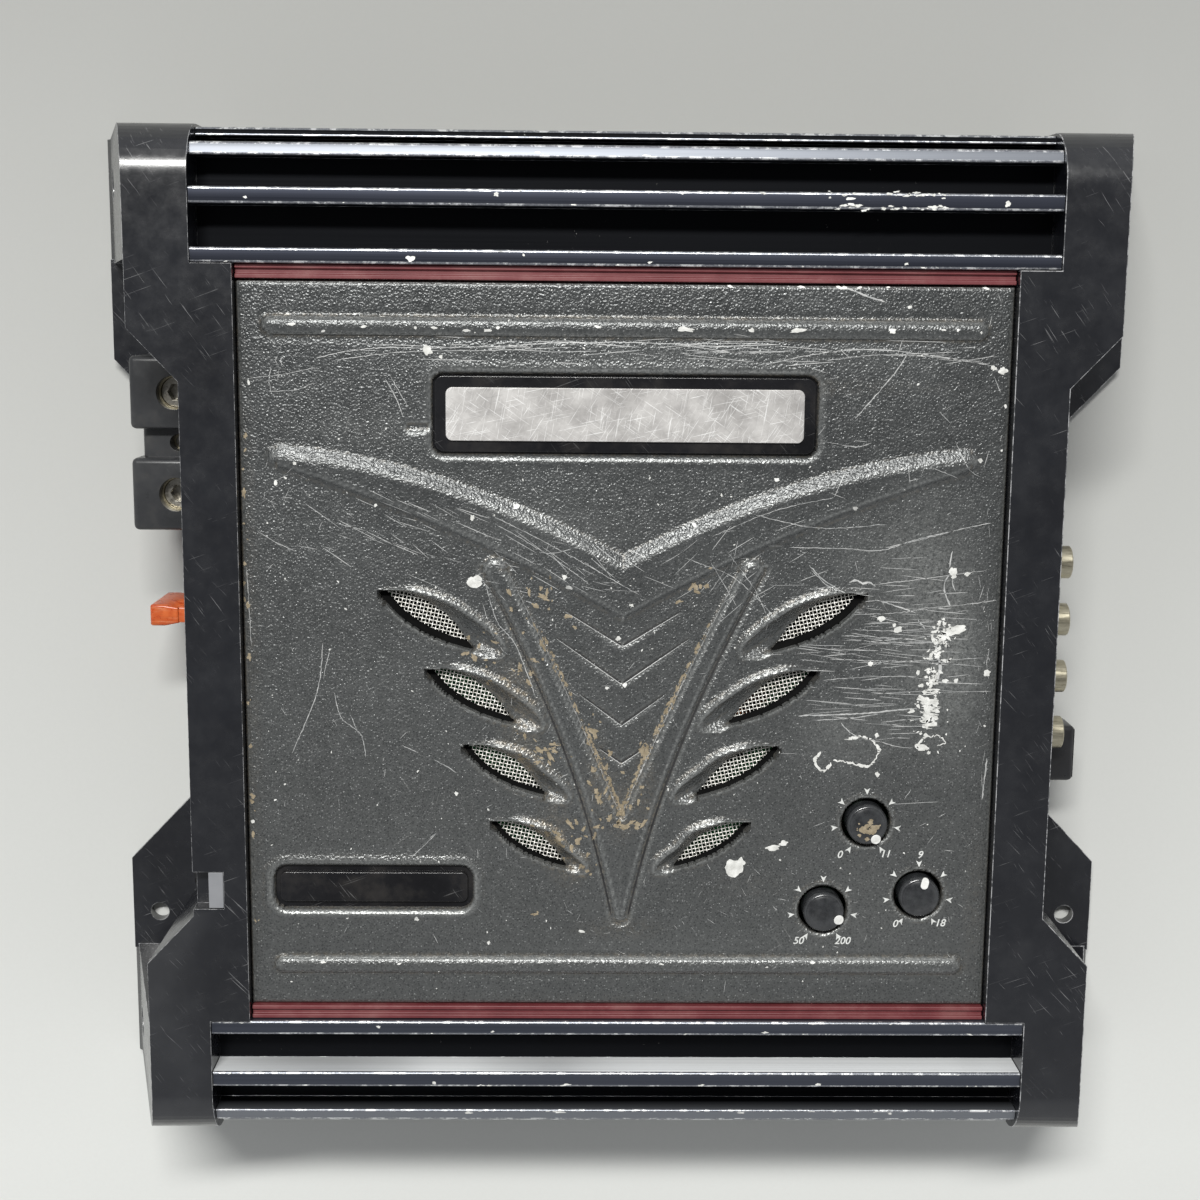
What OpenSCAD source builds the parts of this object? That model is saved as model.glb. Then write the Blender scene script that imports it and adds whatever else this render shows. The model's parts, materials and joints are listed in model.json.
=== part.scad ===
// Mono car amplifier: finned extrusion, moulded end caps, pressed top panel,
// rotary controls, screw terminals, blade fuse, signal jacks and electronics.
// X runs from end cap to end cap, Y across the fins, Z up from the feet.

/* [Chassis] */
// Height from the feet to the top of the end caps
total_h = 57; // [56:1:60]
// Length of the heatsink extrusion
sink_len = 193; // [192:0.5:194]
// Overall width across the end caps
body_w = 238; // [238:0.5:240]
// Thickness of the heatsink deck under the panel
deck_t = 3; // [2.5:0.5:3]
// Thickness of the steel bottom cover
cover_t = 1.5; // [1:0.25:1.5]

/* [End caps] */
// Distance from the centre to a cap's narrow waist
waist_x = 99.8; // [99.5:0.1:100]
// Distance from the centre to the edge of a cap's wings
wing_x = 111; // [110:0.5:112]
// Distance from the centre to the edge of the feet
foot_x = 127.3; // [126.5:0.1:128]
// Thickness of the feet
foot_t = 3.5; // [3:0.5:4]
// Wall thickness of the mouldings
cap_wall = 3; // [2.6:0.2:3]
// Diameter of the mounting holes in the feet
mount_hole_d = 4.8; // [4.2:0.2:5.4]
// Mounting hole distance from the centre along X
mount_x = 120.4; // [119:0.1:121]
// Mounting hole distance from the centre along Y
mount_y = 79.9; // [78:0.1:82]

/* [Top panel] */
// Half length of the panel along X
panel_x = 87.1; // [86:0.1:87.2]
// Half width of the panel along Y
panel_y = 84.8; // [84:0.1:85]
// Height of the raised ribs on the panel
emboss_h = 1; // [0.6:0.1:1.2]

/* [Controls] */
// Diameter of a control knob
knob_d = 9.6; // [9:0.2:10]
// Diameter of the wells round the knobs
well_d = 11.5; // [11.2:0.1:12]
// Diameter of a potentiometer shaft
shaft_d = 6; // [5.6:0.2:6]

/* [Terminals] */
// Diameter of the power wire bores
power_bore_d = 8.6; // [8:0.2:9]
// Diameter of the power set screws
power_screw_d = 7.2; // [6.8:0.1:7.2]
// Diameter of the speaker wire bores
speaker_bore_d = 4.4; // [4:0.2:4.6]
// Diameter of the speaker terminal screws
speaker_screw_d = 3.6; // [3.2:0.2:3.6]
// Radial gap between a terminal screw or shaft and its bore
run_gap = 0.05; // [0.02:0.01:0.08]

/* [Signal jacks] */
// Outside diameter of a phono jack barrel
rca_d = 8; // [7.8:0.1:8.4]
// Distance between neighbouring phono jacks
rca_pitch = 14.2; // [14:0.1:14.4]

/* [Hidden] */

$fn = 64;
eps = 0.01;
fit_gap = 0.1;

// Heatsink section
sink_x = sink_len / 2;
deck_z = 49;
deck_under = deck_z - deck_t;
fin_z = total_h - 0.7;
rail_in = 88.3;
rail_out = 91.7;
fin2_in = 101.1;
fin2_out = 104.8;
fin3_in = 111.7;
fin3_out = 114.6;
fin3_z = total_h - 3;
edge_in = 116.3;
wall_out = 118.3;
wall_mid = 114.3;
wall_in = 110.5;
wall_foot_z = 3;
groove_h = 7;
groove_pitch = 11;
groove_count = 3;
window_x = 80;
window_y = [-72, 26];
port_r = 1.6;
port_wall = 2.4;
port_up = [56, deck_under - port_r - port_wall + 0.6];
port_low = [wall_in - port_r - port_wall + 0.8, 12];

// End caps
cap_in = sink_x + fit_gap;
cap_y = body_w / 2;
cap_edge_x = panel_x + 0.2;
strip_y = rail_in - fit_gap;
strip_t = 3.6;
lip_w = 2.5;
wing_y = 73.9;
waist_y = 62.1;
block_y = 88.9;
shoulder_r = 12;
foot_y = 65.2;
foot_waist_y = 36.3;
foot_round = 1;
latch_x = [-96.2, -92.7];
latch_y = [-60.3, -51.5];
power_opening = [[25.4, 67.6], [10, 34.6]];
fuse_opening = [[-1.6, 25.5], [10, 33.4]];
speaker_opening = [[-49.2, -11.4], [10, 34]];
rca_opening = [[-31.8, 27], [23.6, 37]];
lower_opening = [[-38.2, 27], [10, 23.7]];

// Top panel
panel_z = deck_z + 5;
panel_t = 2.5;
skirt_w = 2;
rib_y = 74.8;
rib_half = 81.7;
rib_w = 4;
mesh_outline = [[-60, 17], [-28, 17], [-4, -54], [-34, -54]];
vent_count = 4;
vent_tilt = 31;
vent_w = 6.8;
badge_c = [0, 55.3];
badge_size = [87, 18];
plate_c = [-57.95, -56];
plate_size = [47.7, 11.8];
pocket_depth = 1.6;
mesh_t = 0.8;

// Controls: place of each knob in plan
gain_at = [57.7, -39.6];
crossover_at = [48.1, -61];
boost_at = [70.6, -57.2];
knob_z = [46.8, 56.8];
shaft_z = [37.4, 52];
gain_angle = -59;
crossover_angle = -26;
boost_angle = 73;
pointer_at = 3;
pointer_r = 1.2;
pointer_depth = 0.4;
pot_z = 35.6;
pot_body = [9.6, 11, 6.4];
bush_d = 8.6;
control_x = [38, 82];
control_y = [-70, -31];
bush_h = 3.5;

// Boards
board_z = 10;
board_t = 1.6;
board_half = [94, 102];
standoff_at = [for (x = [-84, 0, 84]) for (y = [-94, 94]) [x, y]];

// Terminals on the left end
power_x = [-116.4, -98];
power_z = [12, 34];
power_block = 17.2;
ground_y = 58.5;
positive_y = 34.4;
remote_y = (ground_y + positive_y) / 2;
web_x = -114.4;
web_top = 30;
power_screw_x = -106;
power_bore_z = 19.5;
brass_x = [-114.6, -99.2];
brass_w = 12.6;
brass_z = [13.6, 31];
set_screw_z = [24.6, 30];
remote_half = 2.5;
remote_z = [15.1, 25];
remote_bore_z = 18.5;
remote_bore_r = 1.5;
remote_screw_r = 1.5;
remote_screw_z = [20.6, 25.4];
fuse_y = 4.8;
fuse_t = 5.2;
fuse_z = [12.5, 31.6];
fuse_x = [-113.7, -101.7];
blade_w = 5.2;
blade_t = 0.7;
blade_len = 8.4;
clip_t = 0.5;
clip_gap = 0.4;
holder_x = [-101.4, -87];
holder_y = [-1.2, 10.8];
holder_z = [11.7, 33];
fuse_grip = 3.4;
fuse_step = 0.7;
blade_inset = 1.4;
blade_low_z = [fuse_z[0] + blade_inset, fuse_z[1] - blade_inset - blade_w];
speaker_x = [-105.6, -90];
speaker_z = [12, 29];
speaker_pitch = 9;
speaker_c = -30.4;
speaker_screw_x = -101.6;
speaker_bore_z = 17.5;
speaker_half = 3.5;
speaker_block_z = [13.5, 25];
speaker_screw_z = [21.2, 26.2];

// Jacks on the right end
rca_z = 28;
rca_c = -2.5;
rca_tip = 109.8;
rca_face = 100.6;
rca_count = 4;
jack_x = [88, 115.3];
jack_y = [-38, -23.8];
jack_z = [11.7, 22.4];
socket_w = 10.4;
socket_h = 7.4;
socket_depth = 15;
rca_housing_y = [-31.6, 26.8];
rca_housing_z = [23.8, 36.8];
rca_leg_y = [-23.4, 26.8];
rca_bore_r = rca_d / 2 - 0.6;
rca_pin_r = 1.7;

// Power stage
transistor_count = 8;
transistor_pitch = 18;
transistor = [10, 4.5, 15];
transistor_z = 19;
pad_t = 0.4;
clamp_t = 2.8;
clamp_z = [23, 29];
clamp_screw_at = [-54, -18, 18, 54];
clamp_half = 74;
leg_w = 0.8;
leg_pitch = 2.54;

// Coils and capacitors
transformer_at = [-46, 44];
transformer_r = [11, 20];
transformer_z = [15.5, 29];
inductor_at = [20, -16];
inductor_r = [8, 15];
inductor_z = [15, 25];
cap_r = 8;
input_cap_h = 26;
input_cap_at = [[-74, -18], [-74, -38], [-74, -58], [-54, -58]];
output_cap_h = 26;
output_cap_at = [[4, 58], [24, 58], [44, 58], [64, 58]];

// Screws in the bottom cover
cover_screw_x = [-80, -27, 27, 80];
cover_screw_y = 114.4;
tapped_r = 1.3;
clearance_r = 1.7;

// Height of a vent's tip below the first one, and its place along X
function vent_tip(i) = [-56 + 10.65 * i - 1.05 * i * (i - 1), 14 - 18.15 * i];
function vent_len(i) = 25.4 - 1.75 * i;

// Edges of the wide chevron band at a distance a from the centre line
function band_top(a) = 23.6 + 0.545 * a - 0.0029 * a * a;
function band_low(a) = 7.9 + 0.575 * a - 0.00175 * a * a;

// Edges of the wishbone: t and s run from its point to its upper ends
function bone_out(t) = 1.6 + 16.6 * t + 14.1 * t * t;
function bone_in(s) = 26.6 * (0.9 * s + 0.1 * s * s);

function speaker_at(i) = speaker_c + (1.5 - i) * speaker_pitch;
function rca_at(i) = rca_c + (1.5 - i) * rca_pitch;

module on_both_sides() {
    children();
    mirror([0, 1, 0]) children();
}

module block(x, y, z) {
    translate([x[0], y[0], z[0]])
        cube([x[1] - x[0], y[1] - y[0], z[1] - z[0]]);
}

module along_x(x0, x1, r) {
    translate([x0, 0, 0])
        rotate([0, 90, 0])
            cylinder(r = r, h = x1 - x0);
}

module rounded_plate(size, r) {
    square([size[0] - 2 * r, size[1]], center = true);
    square([size[0], size[1] - 2 * r], center = true);
    for (x = [-1, 1])
        for (y = [-1, 1])
            translate([x * (size[0] / 2 - r), y * (size[1] / 2 - r)])
                circle(r);
}

module capsule(len, w) {
    square([len, w], center = true);
    for (x = [-1, 1])
        translate([x * len / 2, 0])
            circle(w / 2);
}

// ---- Chassis ----

module sink_half_section() {
    polygon([
        [-1, deck_under], [-1, deck_z], [rail_in, deck_z], [rail_in, fin_z],
        [rail_out, fin_z], [rail_out, deck_z - 1.5], [fin2_in, deck_z - 1.5],
        [fin2_in, fin_z], [fin2_out, fin_z], [fin2_out, deck_z - 2.5],
        [fin3_in, deck_z - 2.5], [fin3_in, fin3_z], [fin3_out, fin3_z - 0.8],
        [fin3_out, 41], [edge_in, 41], [edge_in, 47], [wall_out, 46],
        [wall_out, wall_foot_z], [wall_in, wall_foot_z], [wall_in, 43],
        [rail_in, 43], [rail_in - deck_t, deck_under]
    ]);
}

module sink_section() {
    for (side = [0, 1])
        mirror([side, 0]) {
            difference() {
                sink_half_section();
                for (i = [0 : groove_count - 1])
                    translate([wall_mid, 8.5 + i * groove_pitch])
                        square([wall_out - wall_mid + 1, groove_h]);
            }
            for (port = [port_up, port_low])
                translate(port)
                    circle(port_r + port_wall);
        }
}

module heatsink() {
    color("#1b1f2b")
        difference() {
            rotate([90, 0, 90])
                linear_extrude(sink_len, center = true)
                    difference() {
                        sink_section();
                        for (port = [port_up, port_low])
                            for (side = [-1, 1])
                                translate([side * port[0], port[1]])
                                    circle(port_r, $fn = 32);
                    }
            block([-window_x, window_x], window_y, [30, deck_z + 1]);
            on_both_sides() {
                for (x = clamp_screw_at)
                    translate([x, wall_in - 1, (clamp_z[0] + clamp_z[1]) / 2])
                        rotate([-90, 0, 0])
                            cylinder(r = tapped_r, h = 4.4, $fn = 24);
                for (x = cover_screw_x)
                    translate([x, cover_screw_y, wall_foot_z - 1])
                        cylinder(r = tapped_r, h = 6, $fn = 24);
            }
        }
}

module cap_profile() {
    rotate([90, 0, 90])
        linear_extrude(140)
            union() {
                translate([-cap_y, 0])
                    square([2 * cap_y, total_h - shoulder_r]);
                translate([shoulder_r - cap_y, 0])
                    square([2 * (cap_y - shoulder_r), total_h]);
                for (side = [-1, 1])
                    translate([side * (cap_y - shoulder_r), total_h - shoulder_r])
                        circle(shoulder_r);
            }
}

module corner_shape(inset) {
    slope_x = wing_x + (foot_x - wing_x) - inset;
    translate([0, cap_y - inset, 0])
        rotate([90, 0, 0])
            linear_extrude(cap_y - block_y - 2 * inset)
                polygon([
                    [inset == 0 ? cap_in : waist_x, inset == 0 ? 0 : -1],
                    [slope_x, inset == 0 ? 0 : -1],
                    [slope_x, foot_t - foot_round],
                    [slope_x - foot_round, foot_t],
                    [wing_x - inset, total_h - inset],
                    [inset == 0 ? cap_in : waist_x, total_h - inset]
                ]);
}

module corner_block() {
    difference() {
        intersection() {
            corner_shape(0);
            cap_profile();
        }
        intersection() {
            corner_shape(cap_wall);
            translate([0, 0, -cap_wall])
                block([waist_x, foot_x], [block_y, cap_y - cap_wall], [0, total_h]);
            rotate([90, 0, 90])
                linear_extrude(140)
                    union() {
                        translate([0, -2])
                            square([cap_y - cap_wall, total_h - shoulder_r + 2]);
                        translate([0, -2])
                            square([cap_y - shoulder_r, total_h - cap_wall + 2]);
                        translate([cap_y - shoulder_r, total_h - shoulder_r])
                            circle(shoulder_r - cap_wall);
                    }
        }
    }
}

module wing_block() {
    difference() {
        linear_extrude(total_h)
            polygon([
                [cap_in, waist_y - 3], [waist_x, waist_y - 3], [waist_x, waist_y],
                [wing_x, wing_y], [wing_x, block_y + 1], [cap_in, block_y + 1]
            ]);
        translate([0, 0, -1])
            linear_extrude(total_h - cap_wall + 1)
                polygon([
                    [waist_x, waist_y + 4.2], [waist_x + 1, waist_y + 5.2],
                    [wing_x - cap_wall, wing_y + 1.2],
                    [wing_x - cap_wall, block_y - 0.5], [waist_x, block_y - 0.5]
                ]);
    }
}

module foot() {
    linear_extrude(foot_t)
        polygon([
            [waist_x - 0.5, foot_waist_y], [waist_x, foot_waist_y],
            [foot_x, foot_y], [foot_x, block_y + 1], [wing_x - cap_wall, block_y + 1],
            [wing_x - cap_wall, wing_y], [waist_x - 0.5, waist_y]
        ]);
}

module end_cap() {
    difference() {
        union() {
            block([cap_in, waist_x], [-block_y - 1, block_y + 1], [0, total_h]);
            block([cap_edge_x, waist_x], [-strip_y, strip_y], [total_h - strip_t, total_h]);
            block([cap_edge_x, cap_edge_x + lip_w], [-strip_y, strip_y],
                  [deck_z + fit_gap, total_h]);
            on_both_sides() {
                corner_block();
                wing_block();
                foot();
            }
        }
        on_both_sides() {
            translate([mount_x, mount_y, -1])
                cylinder(d = mount_hole_d, h = foot_t + 2);
            for (port = [port_up, port_low])
                translate([0, port[0], port[1]])
                    along_x(cap_in - 1, waist_x + 1, port_r + 0.2);
            translate([0, port_low[0], port_low[1]])
                along_x(waist_x + 5, foot_x + 1, 4.2);
        }
    }
}

module end_cap_left() {
    color("#2b2d31")
        difference() {
            mirror([1, 0, 0]) end_cap();
            for (opening = [power_opening, fuse_opening, speaker_opening])
                block([-foot_x - 1, -cap_in + 1], opening[0], opening[1]);
            block([-waist_x - 1, latch_x[1] + fit_gap],
                  [latch_y[0] - fit_gap, latch_y[1] + fit_gap],
                  [total_h - strip_t - 1, total_h + 1]);
        }
}

module end_cap_right() {
    color("#2b2d31")
        difference() {
            end_cap();
            for (opening = [rca_opening, lower_opening])
                block([cap_in - 1, foot_x], opening[0], opening[1]);
        }
}

module cap_latch() {
    color("#8c8f95")
        block(latch_x, latch_y, [total_h - strip_t, total_h - 0.2]);
}

module bottom_cover() {
    color("#3a3c40")
        difference() {
            block([-cap_in + 0.3, cap_in - 0.3], [-117.4, 117.4],
                  [wall_foot_z - cover_t, wall_foot_z]);
            on_both_sides()
                for (x = cover_screw_x)
                    translate([x, cover_screw_y, 0])
                        cylinder(r = clearance_r, h = wall_foot_z + 1, $fn = 24);
            for (at = standoff_at)
                translate([at[0], at[1], 0])
                    cylinder(r = clearance_r, h = wall_foot_z + 1, $fn = 24);
        }
}

module trim_strip() {
    y0 = panel_y + 0.2;
    y1 = rail_in - fit_gap;
    block([-panel_x, panel_x], [y0, y1], [deck_z, panel_z]);
    block([-panel_x, panel_x], [y0, y0 + 1], [panel_z - eps, panel_z + 0.8]);
    block([-panel_x, panel_x], [y1 - 1, y1], [panel_z - eps, panel_z + 0.8]);
}

module trim_strip_upper() {
    color("#6b3438")
        trim_strip();
}

module trim_strip_lower() {
    color("#6b3438")
        mirror([0, 1, 0]) trim_strip();
}

// ---- Top panel ----

module vent_outline(len, w) {
    r = (len * len + w * w) / (4 * w);
    intersection() {
        translate([len / 2, w / 2 - r]) circle(r, $fn = 160);
        translate([len / 2, r - w / 2]) circle(r, $fn = 160);
    }
}

module each_vent() {
    for (side = [0, 1])
        mirror([side, 0])
            for (i = [0 : vent_count - 1])
                translate(vent_tip(i))
                    rotate(-vent_tilt)
                        vent_outline(vent_len(i), vent_w);
}

module band_outline() {
    span = 78.7;
    steps = 16;
    left_to_right = [for (i = [-steps : steps]) i * span / steps];
    polygon(concat(
        [for (x = left_to_right) [x, band_top(abs(x))]],
        [for (i = [len(left_to_right) - 1 : -1 : 0])
            [left_to_right[i], band_low(abs(left_to_right[i]))]]
    ));
    for (side = [-1, 1])
        translate([side * span, (band_top(span) + band_low(span)) / 2])
            circle((band_top(span) - band_low(span)) / 2);
}

module wishbone_outline() {
    steps = 14;
    point_y = -62.6;
    crotch_y = -38;
    top_y = 20;
    outer = [for (i = [0 : steps])
        [bone_out(i / steps), point_y + (top_y - point_y) * i / steps]];
    inner = [for (i = [steps : -1 : 0])
        [bone_in(i / steps), crotch_y + (top_y - crotch_y) * i / steps]];
    for (side = [0, 1])
        mirror([side, 0])
            polygon(concat([[0, point_y]], outer, inner));
    translate([0, point_y])
        circle(bone_out(0));
    arm = bone_out(1) - bone_in(1);
    for (side = [-1, 1])
        translate([side * (bone_in(1) + arm / 2), top_y])
            circle(arm / 2);
}

module top_panel() {
    color("#4a4c50")
        difference() {
            union() {
                block([-panel_x, panel_x], [-panel_y, panel_y],
                      [panel_z - panel_t, panel_z]);
                difference() {
                    block([-panel_x, panel_x], [-panel_y, panel_y],
                          [deck_z + eps, panel_z - eps]);
                    block([skirt_w - panel_x, panel_x - skirt_w],
                          [skirt_w - panel_y, panel_y - skirt_w],
                          [deck_z - 1, panel_z]);
                }
                translate([badge_c[0], badge_c[1], panel_z - panel_t - 1.2])
                    linear_extrude(2)
                        rounded_plate(badge_size + [3, 3], 3);
                translate([0, 0, panel_z - eps])
                    linear_extrude(emboss_h) {
                        for (side = [-1, 1])
                            translate([0, side * rib_y])
                                capsule(2 * rib_half - rib_w, rib_w);
                        band_outline();
                        wishbone_outline();
                    }
            }
            translate([0, 0, panel_z - panel_t - 2])
                linear_extrude(panel_t + 4) {
                    each_vent();
                    for (at = [gain_at, crossover_at, boost_at])
                        translate(at)
                            circle(d = well_d);
                }
            translate([badge_c[0], badge_c[1], panel_z - pocket_depth])
                linear_extrude(pocket_depth + 2)
                    rounded_plate(badge_size, 2.5);
            translate([plate_c[0], plate_c[1], panel_z - pocket_depth])
                linear_extrude(pocket_depth + 2)
                    rounded_plate(plate_size, 2.5);
        }
}

module vent_mesh() {
    translate([0, 0, panel_z - panel_t - mesh_t - 0.1])
        linear_extrude(mesh_t)
            polygon(mesh_outline);
}

module vent_mesh_left() {
    color("#a9a596")
        vent_mesh();
}

module vent_mesh_right() {
    color("#a9a596")
        mirror([1, 0, 0]) vent_mesh();
}

module badge_plate() {
    color("#101012")
        translate([badge_c[0], badge_c[1], panel_z - pocket_depth])
            linear_extrude(1.1)
                rounded_plate(badge_size - [0.8, 0.8], 2.2);
}

module badge_inlay() {
    color("#b9bbbd")
        translate([badge_c[0], badge_c[1], panel_z - pocket_depth + 1.1])
            linear_extrude(0.7)
                rounded_plate(badge_size - [6, 6], 1.5);
}

module name_plate() {
    color("#0d0d0f")
        translate([plate_c[0], plate_c[1], panel_z - pocket_depth])
            linear_extrude(1.2)
                rounded_plate(plate_size - [3.6, 4.6], 1.5);
}

// ---- Controls ----

module knob(at, angle) {
    color("#141416")
        translate([at[0], at[1], 0])
            rotate(angle)
                difference() {
                    translate([0, 0, knob_z[0]])
                        cylinder(d = knob_d, h = knob_z[1] - knob_z[0]);
                    translate([0, 0, knob_z[0] - 1])
                        cylinder(d = shaft_d, h = shaft_z[1] - knob_z[0] + 1);
                    translate([pointer_at, 0, knob_z[1] - pointer_depth])
                        cylinder(r = pointer_r, h = 1);
                }
}

module pot_shaft(at) {
    color("#c7c8ca")
        translate([at[0], at[1], shaft_z[0]])
            cylinder(d = shaft_d, h = shaft_z[1] - shaft_z[0]);
}

module pot(at) {
    color("#5e5a50")
        translate([at[0], at[1], pot_z])
            difference() {
                union() {
                    translate([-pot_body[0] / 2, -pot_body[1] / 2, 0])
                        cube(pot_body);
                    cylinder(d = bush_d, h = pot_body[2] + bush_h);
                }
                translate([0, 0, shaft_z[0] - pot_z - 0.2])
                    cylinder(r = shaft_d / 2 + run_gap, h = 20);
            }
}

module gain_knob() {
    knob(gain_at, gain_angle);
}

module crossover_knob() {
    knob(crossover_at, crossover_angle);
}

module boost_knob() {
    knob(boost_at, boost_angle);
}

module gain_shaft() {
    pot_shaft(gain_at);
}

module crossover_shaft() {
    pot_shaft(crossover_at);
}

module boost_shaft() {
    pot_shaft(boost_at);
}

module gain_pot() {
    pot(gain_at);
}

module crossover_pot() {
    pot(crossover_at);
}

module boost_pot() {
    pot(boost_at);
}

module control_board() {
    color("#1f4a33") {
        block(control_x, control_y, [pot_z - board_t, pot_z]);
        for (x = [control_x[0] + 2, control_x[1] - 2])
            for (y = [control_y[0] + 2, control_y[1] - 2])
                translate([x, y, board_z + board_t])
                    cylinder(r = 1.5, h = pot_z - 2 * board_t - board_z + eps, $fn = 24);
    }
}

// ---- Boards ----

module main_board() {
    color("#1f4a33")
        difference() {
            block([-board_half[0], board_half[0]], [-board_half[1], board_half[1]],
                  [board_z, board_z + board_t]);
            for (at = standoff_at)
                translate([at[0], at[1], board_z - 1])
                    cylinder(r = 1.6, h = board_t + 2, $fn = 24);
        }
}

module standoffs() {
    color("#b8a25a")
        for (at = standoff_at)
            translate([at[0], at[1], wall_foot_z])
                difference() {
                    cylinder(r = 3.4, h = board_z - wall_foot_z, $fn = 6);
                    translate([0, 0, -1])
                        cylinder(r = 1.5, h = board_z, $fn = 24);
                }
}

module screw(shank_r, shank_len, head_r, head_h) {
    translate([0, 0, -shank_len])
        cylinder(r = shank_r, h = shank_len + eps, $fn = 24);
    difference() {
        cylinder(r = head_r, h = head_h, $fn = 32);
        translate([0, 0, head_h * 0.4]) {
            translate([-head_r * 0.6, -0.4, 0])
                cube([head_r * 1.2, 0.8, head_h]);
            translate([-0.4, -head_r * 0.6, 0])
                cube([0.8, head_r * 1.2, head_h]);
        }
    }
}

module board_screws() {
    color("#c2c4c6")
        for (at = standoff_at)
            translate([at[0], at[1], board_z + board_t])
                screw(1.4, 6, 2.8, 1.8);
}

module bottom_screws() {
    color("#26282c")
        for (side = [0, 1])
            mirror([0, side, 0])
                for (x = cover_screw_x)
                    translate([x, cover_screw_y, wall_foot_z - cover_t])
                        mirror([0, 0, 1])
                            screw(1.25, 6, 2.7, 1.2);
}

module end_cap_screws() {
    color("#26282c")
        for (side_x = [0, 1])
            for (side_y = [0, 1])
                mirror([side_x, 0, 0])
                    mirror([0, side_y, 0])
                        for (port = [port_up, port_low])
                            translate([waist_x, port[0], port[1]])
                                rotate([0, 90, 0])
                                    screw(port_r - 0.05, 12, 3, 2);
}

// ---- Power terminals ----

module power_bores(y) {
    translate([0, y, power_bore_z])
        along_x(power_x[0] - 1, brass_x[0] + 1, power_bore_d / 2 + 0.5);
    translate([power_screw_x, y, brass_z[1] - 1])
        cylinder(r = power_screw_d / 2 + 0.4, h = 10);
    block([brass_x[0] - fit_gap, power_x[1] + 1],
          [y - brass_w / 2 - fit_gap, y + brass_w / 2 + fit_gap],
          [brass_z[0] - fit_gap, brass_z[1] + fit_gap]);
}

module power_terminal_housing() {
    color("#1d1e21")
        difference() {
            union() {
                for (y = [ground_y, positive_y])
                    block(power_x, [y - power_block / 2, y + power_block / 2], power_z);
                block([web_x, power_x[1]],
                      [positive_y + power_block / 2 - 1, ground_y - power_block / 2 + 1],
                      [power_z[0], web_top]);
            }
            for (y = [ground_y, positive_y])
                power_bores(y);
            block([brass_x[0] + 2.5 - fit_gap, power_x[1] + 1],
                  [remote_y - remote_half - fit_gap, remote_y + remote_half + fit_gap],
                  [remote_z[0] - fit_gap, remote_z[1] + fit_gap]);
            translate([power_screw_x, remote_y, remote_z[1] - 1])
                cylinder(r = remote_screw_r + 0.5, h = 10, $fn = 32);
            translate([0, remote_y, remote_bore_z])
                along_x(web_x - 1, brass_x[0] + 3, remote_bore_r + 0.2);
        }
}

module terminal_block(y) {
    color("#c9b26a")
        difference() {
            block(brass_x, [y - brass_w / 2, y + brass_w / 2], brass_z);
            translate([0, y, power_bore_z])
                along_x(brass_x[0] - 1, brass_x[1] - 2, power_bore_d / 2);
            translate([power_screw_x, y, power_bore_z])
                cylinder(r = power_screw_d / 2 + run_gap, h = 20);
        }
}

module ground_terminal_block() {
    terminal_block(ground_y);
}

module positive_terminal_block() {
    terminal_block(positive_y);
}

module remote_terminal_block() {
    color("#c9b26a")
        difference() {
            block([brass_x[0] + 2.5, brass_x[1]],
                  [remote_y - remote_half, remote_y + remote_half], remote_z);
            translate([0, remote_y, remote_bore_z])
                along_x(brass_x[0] + 2, brass_x[1] - 3, remote_bore_r);
            translate([power_screw_x, remote_y, remote_bore_z])
                cylinder(r = remote_screw_r + run_gap, h = 10, $fn = 32);
        }
}

module set_screw(x, y, z, r, socket_r) {
    color("#8d8a80")
        translate([x, y, z[0]])
            difference() {
                cylinder(r = r, h = z[1] - z[0]);
                translate([0, 0, (z[1] - z[0]) * 0.4])
                    cylinder(r = socket_r, h = 10, $fn = 6);
            }
}

module ground_set_screw() {
    set_screw(power_screw_x, ground_y, set_screw_z, power_screw_d / 2, 2.2);
}

module positive_set_screw() {
    set_screw(power_screw_x, positive_y, set_screw_z, power_screw_d / 2, 2.2);
}

module remote_set_screw() {
    set_screw(power_screw_x, remote_y, remote_screw_z, remote_screw_r, 0.8);
}

// ---- Fuse ----

module blade_slots(grow_y, grow_z) {
    for (z = blade_low_z)
        block([holder_x[0] - 1, fuse_x[1] + blade_len + 0.5],
              [fuse_y - blade_t / 2 - grow_y, fuse_y + blade_t / 2 + grow_y],
              [z - grow_z, z + blade_w + grow_z]);
}

module fuse_holder() {
    color("#191a1c")
        difference() {
            block(holder_x, holder_y, holder_z);
            blade_slots(clip_gap + clip_t + 0.1, 0.4);
        }
}

module fuse_clips() {
    color("#b5b3aa")
        for (z = blade_low_z)
            for (side = [-1, 1])
                translate([0, side * (blade_t / 2 + clip_gap + clip_t / 2), 0])
                    block([fuse_x[1] + 2, fuse_x[1] + blade_len + 0.4],
                          [fuse_y - clip_t / 2, fuse_y + clip_t / 2],
                          [z, z + blade_w]);
}

module fuse_body() {
    grip_x = fuse_x[0] + fuse_grip;
    narrow_x = grip_x + fuse_grip;
    low_y = fuse_y - fuse_t / 2;
    high_y = fuse_y + fuse_t / 2;
    color("#d8542a") {
        block([grip_x, fuse_x[1]], [low_y + fuse_step, high_y - fuse_step],
              [fuse_z[0] + 0.6, fuse_z[1] - 0.6]);
        translate([0, 0, fuse_z[0]])
            linear_extrude(fuse_z[1] - fuse_z[0])
                polygon([
                    [fuse_x[0], low_y], [fuse_x[0], high_y], [grip_x, high_y],
                    [narrow_x, high_y - fuse_step], [narrow_x, low_y + fuse_step],
                    [grip_x, low_y]
                ]);
    }
}

module fuse_blades() {
    color("#c9cac6")
        for (z = blade_low_z)
            block([fuse_x[1], fuse_x[1] + blade_len],
                  [fuse_y - blade_t / 2, fuse_y + blade_t / 2],
                  [z, z + blade_w]);
}

// ---- Speaker terminals ----

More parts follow.
